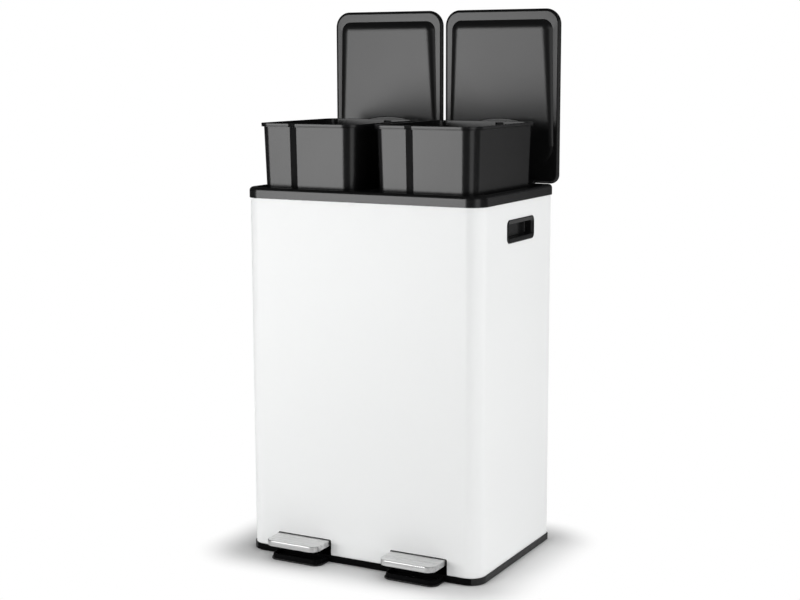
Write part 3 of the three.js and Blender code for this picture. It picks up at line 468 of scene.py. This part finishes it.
# The sheet's middle line: a rectangle whose corners are rolled, wide in front and tight behind.
path = wrap.node("GeometryNodeCurvePrimitiveQuadrilateral",
                 {"Width": size["width"] - size["sheet"], "Height": size["depth"] - size["sheet"]})
at_y = wrap.node("ShaderNodeSeparateXYZ", {0: wrap.node("GeometryNodeInputPosition")}, out=1)
behind = wrap.maths("GREATER_THAN", at_y, 0.0)
bend = size["front_bend"] - size["sheet"] * 0.5 + behind * (size["rear_bend"] - size["front_bend"])
path = wrap.node("GeometryNodeFilletCurve", {"Curve": path, "Count": 20, "Radius": bend},
                 mode="POLY")
strip = wrap.node("GeometryNodeCurvePrimitiveQuadrilateral",
                  {"Width": size["sheet"], "Height": size["high"] - size["low"]})
rolled = wrap.node("GeometryNodeCurveToMesh", {"Curve": path, "Profile Curve": strip})
lift = wrap.vector(y=size["shift"], z=(size["high"] + size["low"]) * 0.5)
raised = wrap.node("GeometryNodeSetPosition", {"Geometry": rolled, "Offset": lift})
shell = wrap.made(raised, white_coat)

seam_y = REAR_Y + SHELL_OUT
steps = [add(block(-SEAM_HALF, SEAM_HALF, seam_y - 0.5, seam_y + SEAM_PROUD, SKIRT_TOP + 0.3,
                   SEAM_TOP))]
for side in (-1, 1):
    pedal, bay, wall = side * PEDAL_X, side * BAY_X, side * CABINET_WIDTH / 2
    notch = rounded(pedal - NOTCH_HALF, pedal + NOTCH_HALF, -40, NOTCH_TOP, NOTCH_RADIUS,
                    NOTCH_RADIUS, 0, 6)
    window = rounded(GRIP_Y - WINDOW_HALF_Y, GRIP_Y + WINDOW_HALF_Y, GRIP_Z - WINDOW_HALF_Z,
                     GRIP_Z + WINDOW_HALF_Z, WINDOW_RADIUS, WINDOW_RADIUS, 0, 8)
    steps += [
        cut(prism_y(notch, FRONT_Y - 10, FRONT_Y + 40)),
        cut(prism_x(window, wall - 12, wall + 12)),
        cut(block(bay - CRANK_SLOT_HALF, bay + CRANK_SLOT_HALF, *REAR_CUT, CRANK_SLOT_LOW, 640)),
    ]
    steps += [cut(prism_y(full_circle(bay, height, GUIDE_HOLE), *REAR_CUT))
              for height in GUIDE_HEIGHTS]
work(shell, steps)
dress(shell, "steel_wrap", white_coat, "cabinet", ["body_shell"])

# ---------------------------------------------------------------- side grips
# A moulded black cup is pushed into a window high on each side wall. Its bevelled frame lies
# on the sheet, and the recess behind it is deep enough for four fingers.

GRIP_LENGTH, GRIP_HEIGHT = 108, 38.5
# Up the cup's outside, over the frame and down the recess. Each step gives the distance in
# from the frame's outline, the corner radius and the distance out from the sheet.
GRIP_SECTION = (
    (5.35, 3, -15), (4.2, 3.2, -14), (3.6, 3.5, -1.5), (3.6, 3.5, 0.3),
    (0, 9, 0.3), (0, 9, 0.8), (0.25, 8.8, 1.2), (0.8, 8.4, 1.5), (1.3, 8, 1.6), (1.7, 7.7, 1.5),
    (4.5, 5.8, 0.7), (7.2, 4.2, -0.3), (7.8, 3.8, -0.8), (8.1, 3.5, -1.8),
    (8.5, 2.6, -11.6), (9.0, 2.4, -12.8), (10, 1.8, -13.4),
)


def grip_ring(side, shrink, radius, out):
    corner = radius + shrink
    plan = rounded(-GRIP_LENGTH / 2, GRIP_LENGTH / 2, -GRIP_HEIGHT / 2, GRIP_HEIGHT / 2, corner,
                   corner, -shrink, 10)
    wall = CABINET_WIDTH / 2 + SHELL_OUT
    return [(side * (wall + out), GRIP_Y + side * y, GRIP_Z + z) for y, z in plan]


for side, word in SIDES:
    grip = body_of(skin([grip_ring(side, *step) for step in GRIP_SECTION]))
    dress(grip, "grip_cup_" + word, black, "cabinet", ["side_grip_" + word], sharp=50)

# ---------------------------------------------------------------- top ring
# A single black moulding caps the wrap: a flat band with a rounded shoulder, a deck with one
# pocket for each bucket, ledges that carry the buckets' rims, and the hinge lugs behind.

RING_LOW, BAND_TOP, RING_TOP, SHOULDER = 610.5, 622, 628.5, 6.5
RING_WALL, RING_EDGE, DECK = 2.1, 0.5, 5
HINGE_Y, HINGE_Z, HUB_RADIUS, PIN_HOLE = 155.1, 622.6, 6.5, 2.8
BUCKET = dict(half_x=91.4, half_y=119.5, height=538, corner=23.5, left_corner=17, draft=0.03,
              wall=2.2, floor=2.6, foot=6, inner_foot=4, set_back=5, step=(-33, -17.6), soft=3.0,
              over=4.3, rim_top=734.6)
BUCKET_Y = -7
# The ledge is inset from the pocket, whose upper edge is broken in (outward, upward) steps.
POCKET, LEDGE, LEDGE_LOW, LEDGE_TOP = 6.3, 1.2, 587.5, 589.7
POCKET_EDGE = ((0, -5.6), (0.2, -5), (4.4, -0.8), (5.2, -0.15), (6, 0), (6, 5))
CRANK_ROOM, CRANK_FRONT = 7.5, 127.4
HOUSING_WALL, HOUSING_DROP, HOUSING_BACK, HOUSING_SOFT = 2, 12, 8.9, 6
LUG_NEAR, LUG_FAR = 54, 62


def bay_plan(side, grow):
    """The plan of a bucket at its rim, moved out by grow."""
    x, wide, deep = side * BAY_X, BUCKET["half_x"], BUCKET["half_y"]
    left, right = x - wide - grow, x + wide + grow
    front, rear = BUCKET_Y - deep - grow, BUCKET_Y + deep + grow
    a, b = BUCKET["left_corner"] + grow, BUCKET["corner"] + grow
    return (arc(left + a, front + a, a, 180, 270, 16) + arc(right - b, front + b, b, 270, 360, 16)
            + arc(right - b, rear - b, b, 0, 90, 16) + arc(left + a, rear - a, a, 90, 180, 16))


crown = [level(cabinet(-RING_EDGE), RING_LOW)]
crown += round_off(cabinet, -RING_EDGE, RING_LOW + RING_EDGE, RING_EDGE, -90, 0, 3)
crown += round_off(cabinet, -SHOULDER, BAND_TOP, SHOULDER, 0, 90, 9)
ring = body_of(skin(crown))
work(ring, [cut(prism(cabinet(-RING_WALL), RING_LOW - 3, RING_TOP - DECK))])
for side in (-1, 1):
    x, bay = side * BAY_X, partial(bay_plan, side)
    pocket = [level(bay(POCKET), LEDGE_TOP)]
    pocket += [level(bay(POCKET + out), RING_TOP + up) for out, up in POCKET_EDGE]
    front, rear, low = REAR_Y - RING_WALL + 0.2, HINGE_Y + HOUSING_BACK, RING_LOW - HOUSING_DROP
    lip, roof = HINGE_Z - 1.4, HINGE_Z + 5.5
    housing = [(front, low), (rear - HOUSING_SOFT, low), (rear, low + HOUSING_SOFT), (rear, lip),
               (rear - HOUSING_WALL, lip), (HINGE_Y + 2.5, roof), (front, roof)]
    floor, back, soft = low + HOUSING_WALL, rear - HOUSING_WALL, HOUSING_SOFT + 1
    hollow = [(front - 1, floor), (rear - soft, floor), (back, low + soft), (back, HINGE_Z + 8),
              (front - 1, HINGE_Z + 8)]
    work(ring, [
        add(prism(bay(POCKET + 1.8), LEDGE_LOW, RING_TOP - 2)),
        cut(skin(pocket)),
        cut(prism(bay(LEDGE), LEDGE_LOW - 8, LEDGE_TOP + 10)),
        cut(block(x - CRANK_ROOM, x + CRANK_ROOM, CRANK_FRONT, HINGE_Y, RING_LOW - 3,
                  RING_TOP + 3)),
        add(prism_x(housing, x - CRANK_ROOM - HOUSING_WALL, x + CRANK_ROOM + HOUSING_WALL)),
        cut(prism_x(hollow, x - CRANK_ROOM, x + CRANK_ROOM)),
    ])
    lug = arc(HINGE_Y, HINGE_Z, HUB_RADIUS, -90, 90, 14)
    lug += [(REAR_Y - RING_WALL, BAND_TOP), (REAR_Y - RING_WALL, RING_LOW + 1)]
    for half in (-1, 1):
        work(ring, [add(prism_x(lug, x + half * LUG_NEAR, x + half * LUG_FAR))])
    pin_hole = full_circle(HINGE_Y, HINGE_Z, PIN_HOLE)
    work(ring, [cut(prism_x(pin_hole, x - LUG_FAR - 2, x + LUG_FAR + 2))])
dress(ring, "top_ring_moulding", black, "cabinet", ["top_ring"])

# ---------------------------------------------------------------- pedal treads
# Each tread is pressed from stainless sheet, brushed along its width, with a turned-down lip
# that follows its round front corners. It is spot welded to the lever below.

TREAD = dict(half=50, front=45, top=37.5, lip=9.5, radius=15, edge=1.35, sheet=1.2)

steel = Finish("brushed_stainless")
strokes = steel.noise(steel.place((4, 380, 380)), 1.0, 5, 0.75)
patches = steel.noise(steel.place((14, 120, 120)), 1.0, 2)
brushed = steel.surface(
    Base_Color=steel.blend(strokes, (0.4, 0.4, 0.4, 1), (0.99, 0.99, 0.985, 1)),
    Metallic=1.0,
    Roughness=strokes * 0.12 + patches * 0.05 + 0.2,
    Normal=steel.bump(strokes, 0.00006, 0.5),
)


def tread_plan(side, grow):
    middle = side * PEDAL_X
    return rounded(middle - TREAD["half"], middle + TREAD["half"], FRONT_Y - TREAD["front"],
                   FRONT_Y + 3, TREAD["radius"], 0, grow, 16)


def tread_form(side):
    """The sheet's inner face, the lip's lower edge, its outer face and the round upper edge."""
    plan = partial(tread_plan, side)
    top, sheet, edge = TREAD["top"], TREAD["sheet"], TREAD["edge"]
    lip_edge = ((-sheet, 0.2), (-sheet + 0.25, 0), (-0.3, 0), (0, 0.3))
    rings = [level(plan(-edge), top - sheet)]
    rings += round_off(plan, -edge, top - edge, edge - sheet, 90, 0, 4)
    rings += [level(plan(grow), top - TREAD["lip"] + up) for grow, up in lip_edge]
    rings += round_off(plan, -edge, top - edge, edge, 0, 90, 7)
    return skin(rings)


for side, word in SIDES:
    tread = body_of(tread_form(side))
    middle, open_half = side * PEDAL_X, TREAD["half"] - TREAD["sheet"]
    work(tread, [cut(block(middle - open_half, middle + open_half, FRONT_Y, FRONT_Y + 9,
                           TREAD["top"] - TREAD["lip"] - 2, TREAD["top"] - TREAD["sheet"]))])
    dress(tread, "tread_" + word, brushed, "pedal_" + word, ["pedal_tread_" + word])

# ---------------------------------------------------------------- pedal levers and axles
# A zinc-plated channel runs from each tread to the rear wall and rocks on a headed steel axle
# between two posts of the tray. A slot at its rear end takes the foot of the push rod.

zinc = Finish("zinc_plate")
here = zinc.place()
spangle = zinc.noise(here, 130, 4, 0.6)
zinc_plate = zinc.surface(
    Base_Color=zinc.blend(spangle, (0.38, 0.39, 0.41, 1), (0.52, 0.53, 0.54, 1)),
    Metallic=1.0,
    Roughness=spangle * 0.2 + 0.28,
    Normal=zinc.bump(zinc.noise(here, 900, 2), 0.00002, 0.3),
)


def keep_node(node, finish, edge):
    """A CAD node that stays: welded, with broken edges, and given its finish."""
    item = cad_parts[node]
    weld = item.modifiers.new("weld", "WELD")
    weld.merge_threshold = 0.00001
    if edge:
        bevel = item.modifiers.new("edges", "BEVEL")
        bevel.width = edge * MM
        bevel.segments = 2
        bevel.limit_method = "ANGLE"
        bevel.angle_limit = math.radians(40)
    even = item.modifiers.new("even", "WEIGHTED_NORMAL")
    even.weight = 80
    item.data.materials.clear()
    item.data.materials.append(finish)


for side, word in SIDES:
    keep_node("pedal_lever_" + word, zinc_plate, 0.35)
    keep_node("pedal_axle_" + word, zinc_plate, 0.3)

# ---------------------------------------------------------------- push rods, caps and guides
# A 6 mm rod hooks through each lever and slides up inside the rear wall in two clips that snap
# through the sheet. The coil spring on its moulded ring pushes the crank of the lid.

for side, word in SIDES:
    keep_node("push_rod_" + word, zinc_plate, 0.0)
    keep_node("push_rod_spring_" + word, zinc_plate, 0.0)
    keep_node("push_rod_cap_" + word, black, 0.5)
    keep_node("rod_guide_lower_" + word, black, 0.4)
    keep_node("rod_guide_upper_" + word, black, 0.4)

# ---------------------------------------------------------------- inner buckets
# Each bucket is a drafted black moulding. A narrow strip of its front wall is set back,
# the rim turns over into a short lip, and the rear rim has a bag slot and a low arch.

ARCH = dict(shift=24, half=41, rise=5, foot=3)
# The arch's front upper edge, as (lower, farther back) steps from its face.
ARCH_EDGE = ((0, 0), (0, 0.8), (0.25, 1.3), (0.8, 1.75), (1.6, 2))
SLOT = dict(shift=25.3, half=7.5, low=8.5, high=2, radius=1.2)


def soft_bend(before, at, after, steps=5):
    """Points of a round where two straight runs meet."""
    a, b, c = Vector(before), Vector(at), Vector(after)
    u, v = (a - b).normalized(), (c - b).normalized()
    reach = BUCKET["soft"] * math.tan((math.pi - u.angle(v)) / 2)
    p, q = b + u * reach, b + v * reach
    shares = (i / steps for i in range(steps + 1))
    return [tuple(p.lerp(b, t).lerp(b.lerp(q, t), t)) for t in shares]


def bucket_plan(grow):
    """The bucket's plan, with the slanted step of its set-back strip rounded off."""
    half_x, half_y = BUCKET["half_x"] + grow, BUCKET["half_y"] + grow
    r, tight = (BUCKET[key] + max(grow, grow / 2) for key in ("corner", "left_corner"))
    narrow = half_y - BUCKET["set_back"]
    start, end = (-half_x + tight, -narrow), (half_x - r, -half_y)
    step = list(zip(BUCKET["step"], (-narrow, -half_y)))
    return (arc(-half_x + tight, -narrow + tight, tight, 180, 270, 16)
            + soft_bend(start, *step) + soft_bend(*step, end)
            + arc(half_x - r, -half_y + r, r, 270, 360, 16)
            + arc(half_x - r, half_y - r, r, 0, 90, 16)
            + arc(-half_x + tight, half_y - tight, tight, 90, 180, 28))


def bucket_form(side):
    """Rings from the floor up the outside, over the rim, and down the inside to the floor."""
    top, height, wall, over = (BUCKET[key] for key in ("rim_top", "height", "wall", "over"))
    foot, inner_foot, floor = BUCKET["foot"], BUCKET["inner_foot"], height - BUCKET["floor"]

    def at(grow, drop):
        return [(x + side * BAY_X, y + BUCKET_Y, top - drop) for x, y in bucket_plan(grow)]

    def drafted(drop):
        return -BUCKET["draft"] * drop

    under_rim = ((0, 2.6), (0.3, 2.1), (over - 2.0, 2.0), (over - 1.7, 2.2), (over - 1.7, 5.6),
                 (over - 1.4, 6.0), (over - 0.35, 6.0), (over, 5.7), (over, 4.9),
                 (over - 0.9, 4.6), (over - 0.9, 4.1), (over - 0.1, 3.8))
    rings = [at(drafted(height) - foot, height)]
    rings += [at(drafted(height) - foot + out, height - foot - up)
              for out, up in rounding(foot, -90, 0, 6)]
    rings += [at(drafted(drop), drop) for drop in (400, 250, 120, 60, 20, 8)]
    rings += [at(grow, drop) for grow, drop in under_rim]
    rings += [at(over - 0.9 + out, 0.9 - up) for out, up in rounding(0.9, 0, 90, 4)]
    rings += [at(-wall + 0.7, 0)]
    rings += [at(-wall + 0.7 - out, 0.7 - up) for out, up in rounding(0.7, 90, 0, 3)]
    rings += [at(drafted(drop) - wall, drop) for drop in (8, 60, 250, 400, height - 14)]
    rings += [at(drafted(floor) - wall - inner_foot + out, floor - inner_foot - up)
              for out, up in rounding(inner_foot, 0, -90, 5)]
    return skin(rings)


def arch_form(x, rim_y):
    """The low arch on the rear rim, with its front upper edge rounded off."""
    top, half, rise = BUCKET["rim_top"], ARCH["half"], ARCH["rise"]
    radius = (half * half + rise * rise) / (2 * rise)
    spread = math.degrees(math.asin(half / radius))
    middle, foot = x + ARCH["shift"], top - ARCH["foot"]
    rings = []
    for lower, back in ARCH_EDGE:
        bow = arc(middle, top + rise - radius, radius - lower, 90 - spread, 90 + spread, 20)
        outline = [(middle - half, foot), (middle + half, foot)] + bow
        rings.append([(px, rim_y - 0.4 - back, pz) for px, pz in outline])
    return skin(rings)


for side, word in SIDES:
    x, top = side * BAY_X, BUCKET["rim_top"]
    rim_y = BUCKET_Y + BUCKET["half_y"] + BUCKET["over"]
    middle = x + SLOT["shift"]
    slot = rounded(middle - SLOT["half"], middle + SLOT["half"], top - SLOT["low"],
                   top - SLOT["high"], SLOT["radius"], SLOT["radius"], 0, 4)
    bucket = body_of(bucket_form(side))
    work(bucket, [add(arch_form(x, rim_y)), cut(prism_y(slot, rim_y - 14, rim_y + 3))])
    dress(bucket, "bucket_moulding_" + word, black, "inner_bucket_" + word, ["bucket_" + word],
          sharp=40)

# ---------------------------------------------------------------- lids
# Each lid is a black domed cover snapped over a liner, whose middle stands proud as a wedge
# that closes the bay. The liner carries the two hinge ears and the crank.

LID = dict(centre=111.5, half=108.5, front=-301.1, rear=-3.9, border=9.9, front_radius=27,
           rear_radius=15, edge=3.5, dome=12, wall=1.8, liner=2.2, fit=0.3)
WEDGE = dict(side=14, front=17.9, rear=29.5, front_radius=17, rear_radius=36, widen=5, rise=8.2,
             run=20.6, run_loss=14, steps=24, foot=17)
# The liner's rounded outer edge, as (outward, upward) steps from its fit in the cover.
LINER_EDGE = ((-2.9, 0), (-2.1, 0.14), (-1.3, 0.42), (-0.5, 0.85), (0, 1.3))
EAR_NEAR, EAR_FAR, CRANK_HALF = 62.4, 69.4, 6
# The crank's nose lies level with its upper end, 20 mm from the pin and 45 degrees round.
NOSE, NOSE_RADIUS, ARM_RADIUS = 14.142, 4, 5.5
# Outlines of the web and the heel as the closed lid has them, from the pin: (forward, up).
WEB = ((-10.5, 9.9), (-8.4, 5), (-8.4, 1), (-6, -1), (1, 0), (1, 6.4), (-1, 8.6), (-6, 9.6),
       (-6, 11), (-10.5, 11))
HEEL = ((0, 0), (3.25, -5.2), (6.5, -8.8), (11, -8.8), (11, -5.8), (6.5, 0))

lid_black = moulded_black("lid_black", (0.004, 0.004, 0.0043), (0.006, 0.006, 0.0063), 0.25)
liner_black = moulded_black("liner_black", (0.004, 0.004, 0.0043), (0.006, 0.006, 0.0063), 0.3)


def opened(ring):
    """Takes a ring drawn closed from the hinge and swings it up by a quarter turn."""
    return [(x, HINGE_Y + z, HINGE_Z - y) for x, y, z in ring]


def opened_side(points):
    """The same for an outline seen from the side."""
    return [(HINGE_Y + z, HINGE_Z - y) for y, z in points]


def lid_plan(side, grow):
    x = side * LID["centre"]
    return rounded(x - LID["half"], x + LID["half"], LID["front"], LID["rear"],
                   LID["front_radius"], LID["rear_radius"], grow, 18)


def cover_form(side):
    """Rings from the cover's inner top down to its edge and up over the dome."""
    plan, border, dome, wall = partial(lid_plan, side), LID["border"], LID["dome"], LID["wall"]
    spring = border + LID["edge"]
    inner_top = spring + dome - wall
    rings = [level(plan(-40), inner_top), level(plan(-dome - 6), inner_top)]
    rings += round_off(plan, -dome, spring, dome - wall, 90, 0, 6)
    rings += [level(plan(-wall), border + 1.1)]
    rings += round_off(plan, -2.4, border + 3.2, 2.4, -70, 0, 5)
    rings += round_off(plan, -dome, spring, dome, 0, 84, 10)
    rings += [level(plan(-dome - inward), spring + dome + up)
              for inward, up in ((5, 0.15), (25, 0.6), (60, 0.9))]
    return skin([opened(ring) for ring in rings])


def wedge_rings(side):
    """Rings of the raised wedge, from its foot on the border in to its flat face."""
    x, half = side * LID["centre"], LID["half"] - WEDGE["side"]
    front, rear = LID["front"] + WEDGE["front"], LID["rear"] - WEDGE["rear"]
    sizes = (-half, half, front, rear, WEDGE["front_radius"], WEDGE["rear_radius"])
    # Each point of the face's outline, widened towards the rear, with its outward direction.
    found = []
    for (px, py), (qx, qy) in zip(rounded(*sizes, 0, 18), rounded(*sizes, -1, 18)):
        widen = 1 + (WEDGE["widen"] / half) * ((py - front) / (rear - front))
        lean = math.hypot(qx - px, qy - py)
        found.append((px * widen, py, (qx - px) / lean, (qy - py) / lean))

    def down(y):
        """How far down the open lid a point lies, from 0 at its top to 1."""
        return (y - LID["front"]) / (LID["rear"] - LID["front"])

    def ring(share, rise):
        points = []
        for px, py, nx, ny in found:
            run = (WEDGE["run"] - WEDGE["run_loss"] * down(py)) * share
            y = py + ny * run
            height = WEDGE["rise"] - WEDGE["rise"] * min(down(y) / 0.9, 1) ** 1.7
            points.append((x + px + nx * run, y, LID["border"] - height * rise))
        return points

    shares = [1 - i / WEDGE["steps"] for i in range(WEDGE["steps"] + 1)]
    # The flank starts at a slant and then eases into the flat face.
    return [ring(t, 2.18 * t if t < 0.12 else 1 - 1.029 * (1 - t) ** 2.6) for t in shares]


def liner_form(side):
    """Rings from the wedge out to the liner's edge, round it, and back in above."""
    border, thick, inset = LID["border"], LID["liner"], -LID["wall"] - LID["fit"]
    plan, rings = partial(lid_plan, side), wedge_rings(side)
    foot = [(x, y, border + thick) for x, y, z in rings[WEDGE["foot"]]]
    roof = [(x, y, z + thick) for x, y, z in rings[0]]
    rings += [level(plan(inset + out), border + up) for out, up in LINER_EDGE]
    rings += [level(plan(inset), border + thick), level(plan(-22), border + thick), foot, roof]
    return skin([opened(ring) for ring in rings])


for side, word in SIDES:
    body = "lid_" + word
    cover = body_of(cover_form(side))
    dress(cover, "cover_" + word, lid_black, body, ["lid_cover_" + word], sharp=40)
    liner = body_of(liner_form(side))
    x = side * BAY_X
    hub = full_circle(HINGE_Y, HINGE_Z, HUB_RADIUS)
    web, heel = opened_side(WEB), opened_side(HEEL)
    for half in (-1, 1):
        ends = (x + half * EAR_NEAR, x + half * EAR_FAR)
        work(liner, [add(prism_x(outline, *ends)) for outline in (hub, web, heel)])
    arm = arc(HINGE_Y, HINGE_Z, ARM_RADIUS, 139.3, -49.3, 12)[::-1]
    arm += arc(HINGE_Y - NOSE, HINGE_Z + NOSE, NOSE_RADIUS, 49.3, 220.7, 10)
    ends = (x - CRANK_HALF, x + CRANK_HALF)
    work(liner, [add(prism_x(outline, *ends)) for outline in (hub, web, arm)])
    pin_hole = full_circle(HINGE_Y, HINGE_Z, PIN_HOLE)
    work(liner, [cut(prism_x(pin_hole, x - 72, x + 72))])
    dress(liner, "liner_" + word, liner_black, body, ["lid_liner_" + word], sharp=40)
    keep_node("lid_hinge_pin_" + word, zinc_plate, 0.3)

# ---------------------------------------------------------------- floor
# The bin stands on a plain white studio floor that runs on into the background. Only the
# object's soft contact shadow shows on it.

FLOOR_HALF_X, FLOOR_HALF_Y = 0.19, 0.125
SHADOW_FULL, SHADOW_GONE = 0.03, 0.13

studio_floor = Finish("studio_floor")
spot = studio_floor.node("ShaderNodeTexCoord", out="Object")
# The distance from a rectangle a little smaller than the bin's foot.
away = 0.0
for axis_number, half in enumerate((FLOOR_HALF_X, FLOOR_HALF_Y)):
    along = studio_floor.node("ShaderNodeSeparateXYZ", {0: spot}, out=axis_number)
    past = studio_floor.maths("ABSOLUTE", along, 0.0) - half
    past = studio_floor.maths("MAXIMUM", past, 0.0)
    away = past * past + away
away = studio_floor.maths("SQRT", away, 0.0)
clear = studio_floor.node("ShaderNodeMapRange", {0: away, 1: SHADOW_FULL, 2: SHADOW_GONE},
                          interpolation_type="SMOOTHSTEP")
seen = studio_floor.node("ShaderNodeLightPath", out="Is Camera Ray")
bounced = studio_floor.node("ShaderNodeLightPath", out="Is Diffuse Ray")
# The floor lights the bin a little more than it shows itself.
dim, bright = (studio_floor.node("ShaderNodeBsdfDiffuse", {"Color": (grey, grey, grey, 1)})
               for grey in (0.82, 0.95))
lit = studio_floor.node("ShaderNodeMixShader", {0: bounced, 1: dim, 2: bright})
plain = studio_floor.node("ShaderNodeEmission", {"Color": (1, 1, 1, 1), "Strength": 1.0})
total = studio_floor.node("ShaderNodeMixShader", {0: clear * seen, 1: lit, 2: plain})
studio_floor.node("ShaderNodeOutputMaterial", {"Surface": total})
bpy.ops.mesh.primitive_plane_add(size=30, location=(0, 0, 0))
ground = bpy.context.object
ground.name = "floor"
ground.data.materials.append(studio_floor.material)

# ---------------------------------------------------------------- light
# Soft panels stand round the bin: a tall one at the front left that the flat black faces
# mirror, a weaker one at the front right, and a dim one behind on the right. Six fills, which
# no glossy face mirrors, light the white walls, the insides and the floor.

WORLD_SEEN, WORLD_FELT = 1.0, 0.045


def panel(name, azimuth, distance, height, width, tall, power, tilt=0.0):
    """An area light that faces the bin; azimuth 0 is in front of it and 90 on its right."""
    data = bpy.data.lights.new(name, "AREA")
    data.shape = "RECTANGLE"
    data.size, data.size_y, data.energy = width, tall, power
    item = linked(name, data)
    turn = math.radians(azimuth)
    item.location = (distance * math.sin(turn), -distance * math.cos(turn), height)
    item.rotation_euler = (math.radians(90 - tilt), 0, turn)
    return item


def fill(name, azimuth, distance, height, width, power):
    """A square panel that aims at the bin's lower half and isn't mirrored."""
    tilt = math.degrees(math.atan2(height - 0.3, distance))
    panel(name, azimuth, distance, height, width, width, power, tilt).visible_glossy = False


panel("front_left_panel", -28, 2.45, 0.82, 1.25, 1.6, 31)
panel("right_panel", 60, 2.4, 0.9, 1.25, 1.8, 7.5)
panel("rear_right_panel", 143, 2.6, 0.8, 0.85, 1.8, 1.35)
fill("high_fill", 66, 1.0, 2.9, 2.2, 19)
fill("side_fill", 98, 2.3, 0.9, 1.9, 28)
fill("rear_fill", 195, 2.8, 1.2, 2.0, 14)
fill("left_fill", -70, 1.5, 0.15, 1.0, 6.5)
fill("low_fill", 56, 2.1, 0.2, 1.2, 6.5)
fill("low_front_fill", -15, 1.05, 0.12, 0.5, 0.75)

# The background is white to the camera and through glass, and nearly dark to all else.
world = bpy.data.worlds.new("studio")
bpy.context.scene.world = world
world.use_nodes = True
studio = Nodes(world.node_tree)
seen = studio.maths("MAXIMUM", studio.node("ShaderNodeLightPath", out="Is Camera Ray"),
                    studio.node("ShaderNodeLightPath", out="Is Transmission Ray"))
strength = studio.node("ShaderNodeMix", {"Factor": seen, "A": WORLD_FELT, "B": WORLD_SEEN},
                       data_type="FLOAT")
back = studio.node("ShaderNodeBackground", {"Color": (1, 1, 1, 1), "Strength": strength})
studio.node("ShaderNodeOutputWorld", {"Surface": back})

# ---------------------------------------------------------------- camera
# A long lens at the height of the open lids looks slightly down, 28 degrees round to the
# right of the front.

AZIMUTH, ELEVATION, ROLL = math.radians(28.17), math.radians(8.93), math.radians(-0.16)
PLACE = (1.1991, -2.2344, 0.8313)
SENSOR, FOCAL_PIXELS, IMAGE_WIDTH = 36, 1503, 800

toward = Vector((math.sin(AZIMUTH) * math.cos(ELEVATION),
                 -math.cos(AZIMUTH) * math.cos(ELEVATION), math.sin(ELEVATION)))
right = Vector((math.cos(AZIMUTH), math.sin(AZIMUTH), 0))
aim = Matrix((right, toward.cross(right), toward)).transposed() @ Matrix.Rotation(ROLL, 3, "Z")
lens = bpy.data.cameras.new("camera")
lens.sensor_fit = "HORIZONTAL"
lens.sensor_width = SENSOR
lens.lens = FOCAL_PIXELS / IMAGE_WIDTH * SENSOR
lens.clip_end = 60
camera = linked("camera", lens)
camera.matrix_world = Matrix.Translation(PLACE) @ aim.to_4x4()
bpy.context.scene.camera = camera
bpy.context.scene.view_settings.view_transform = "Standard"
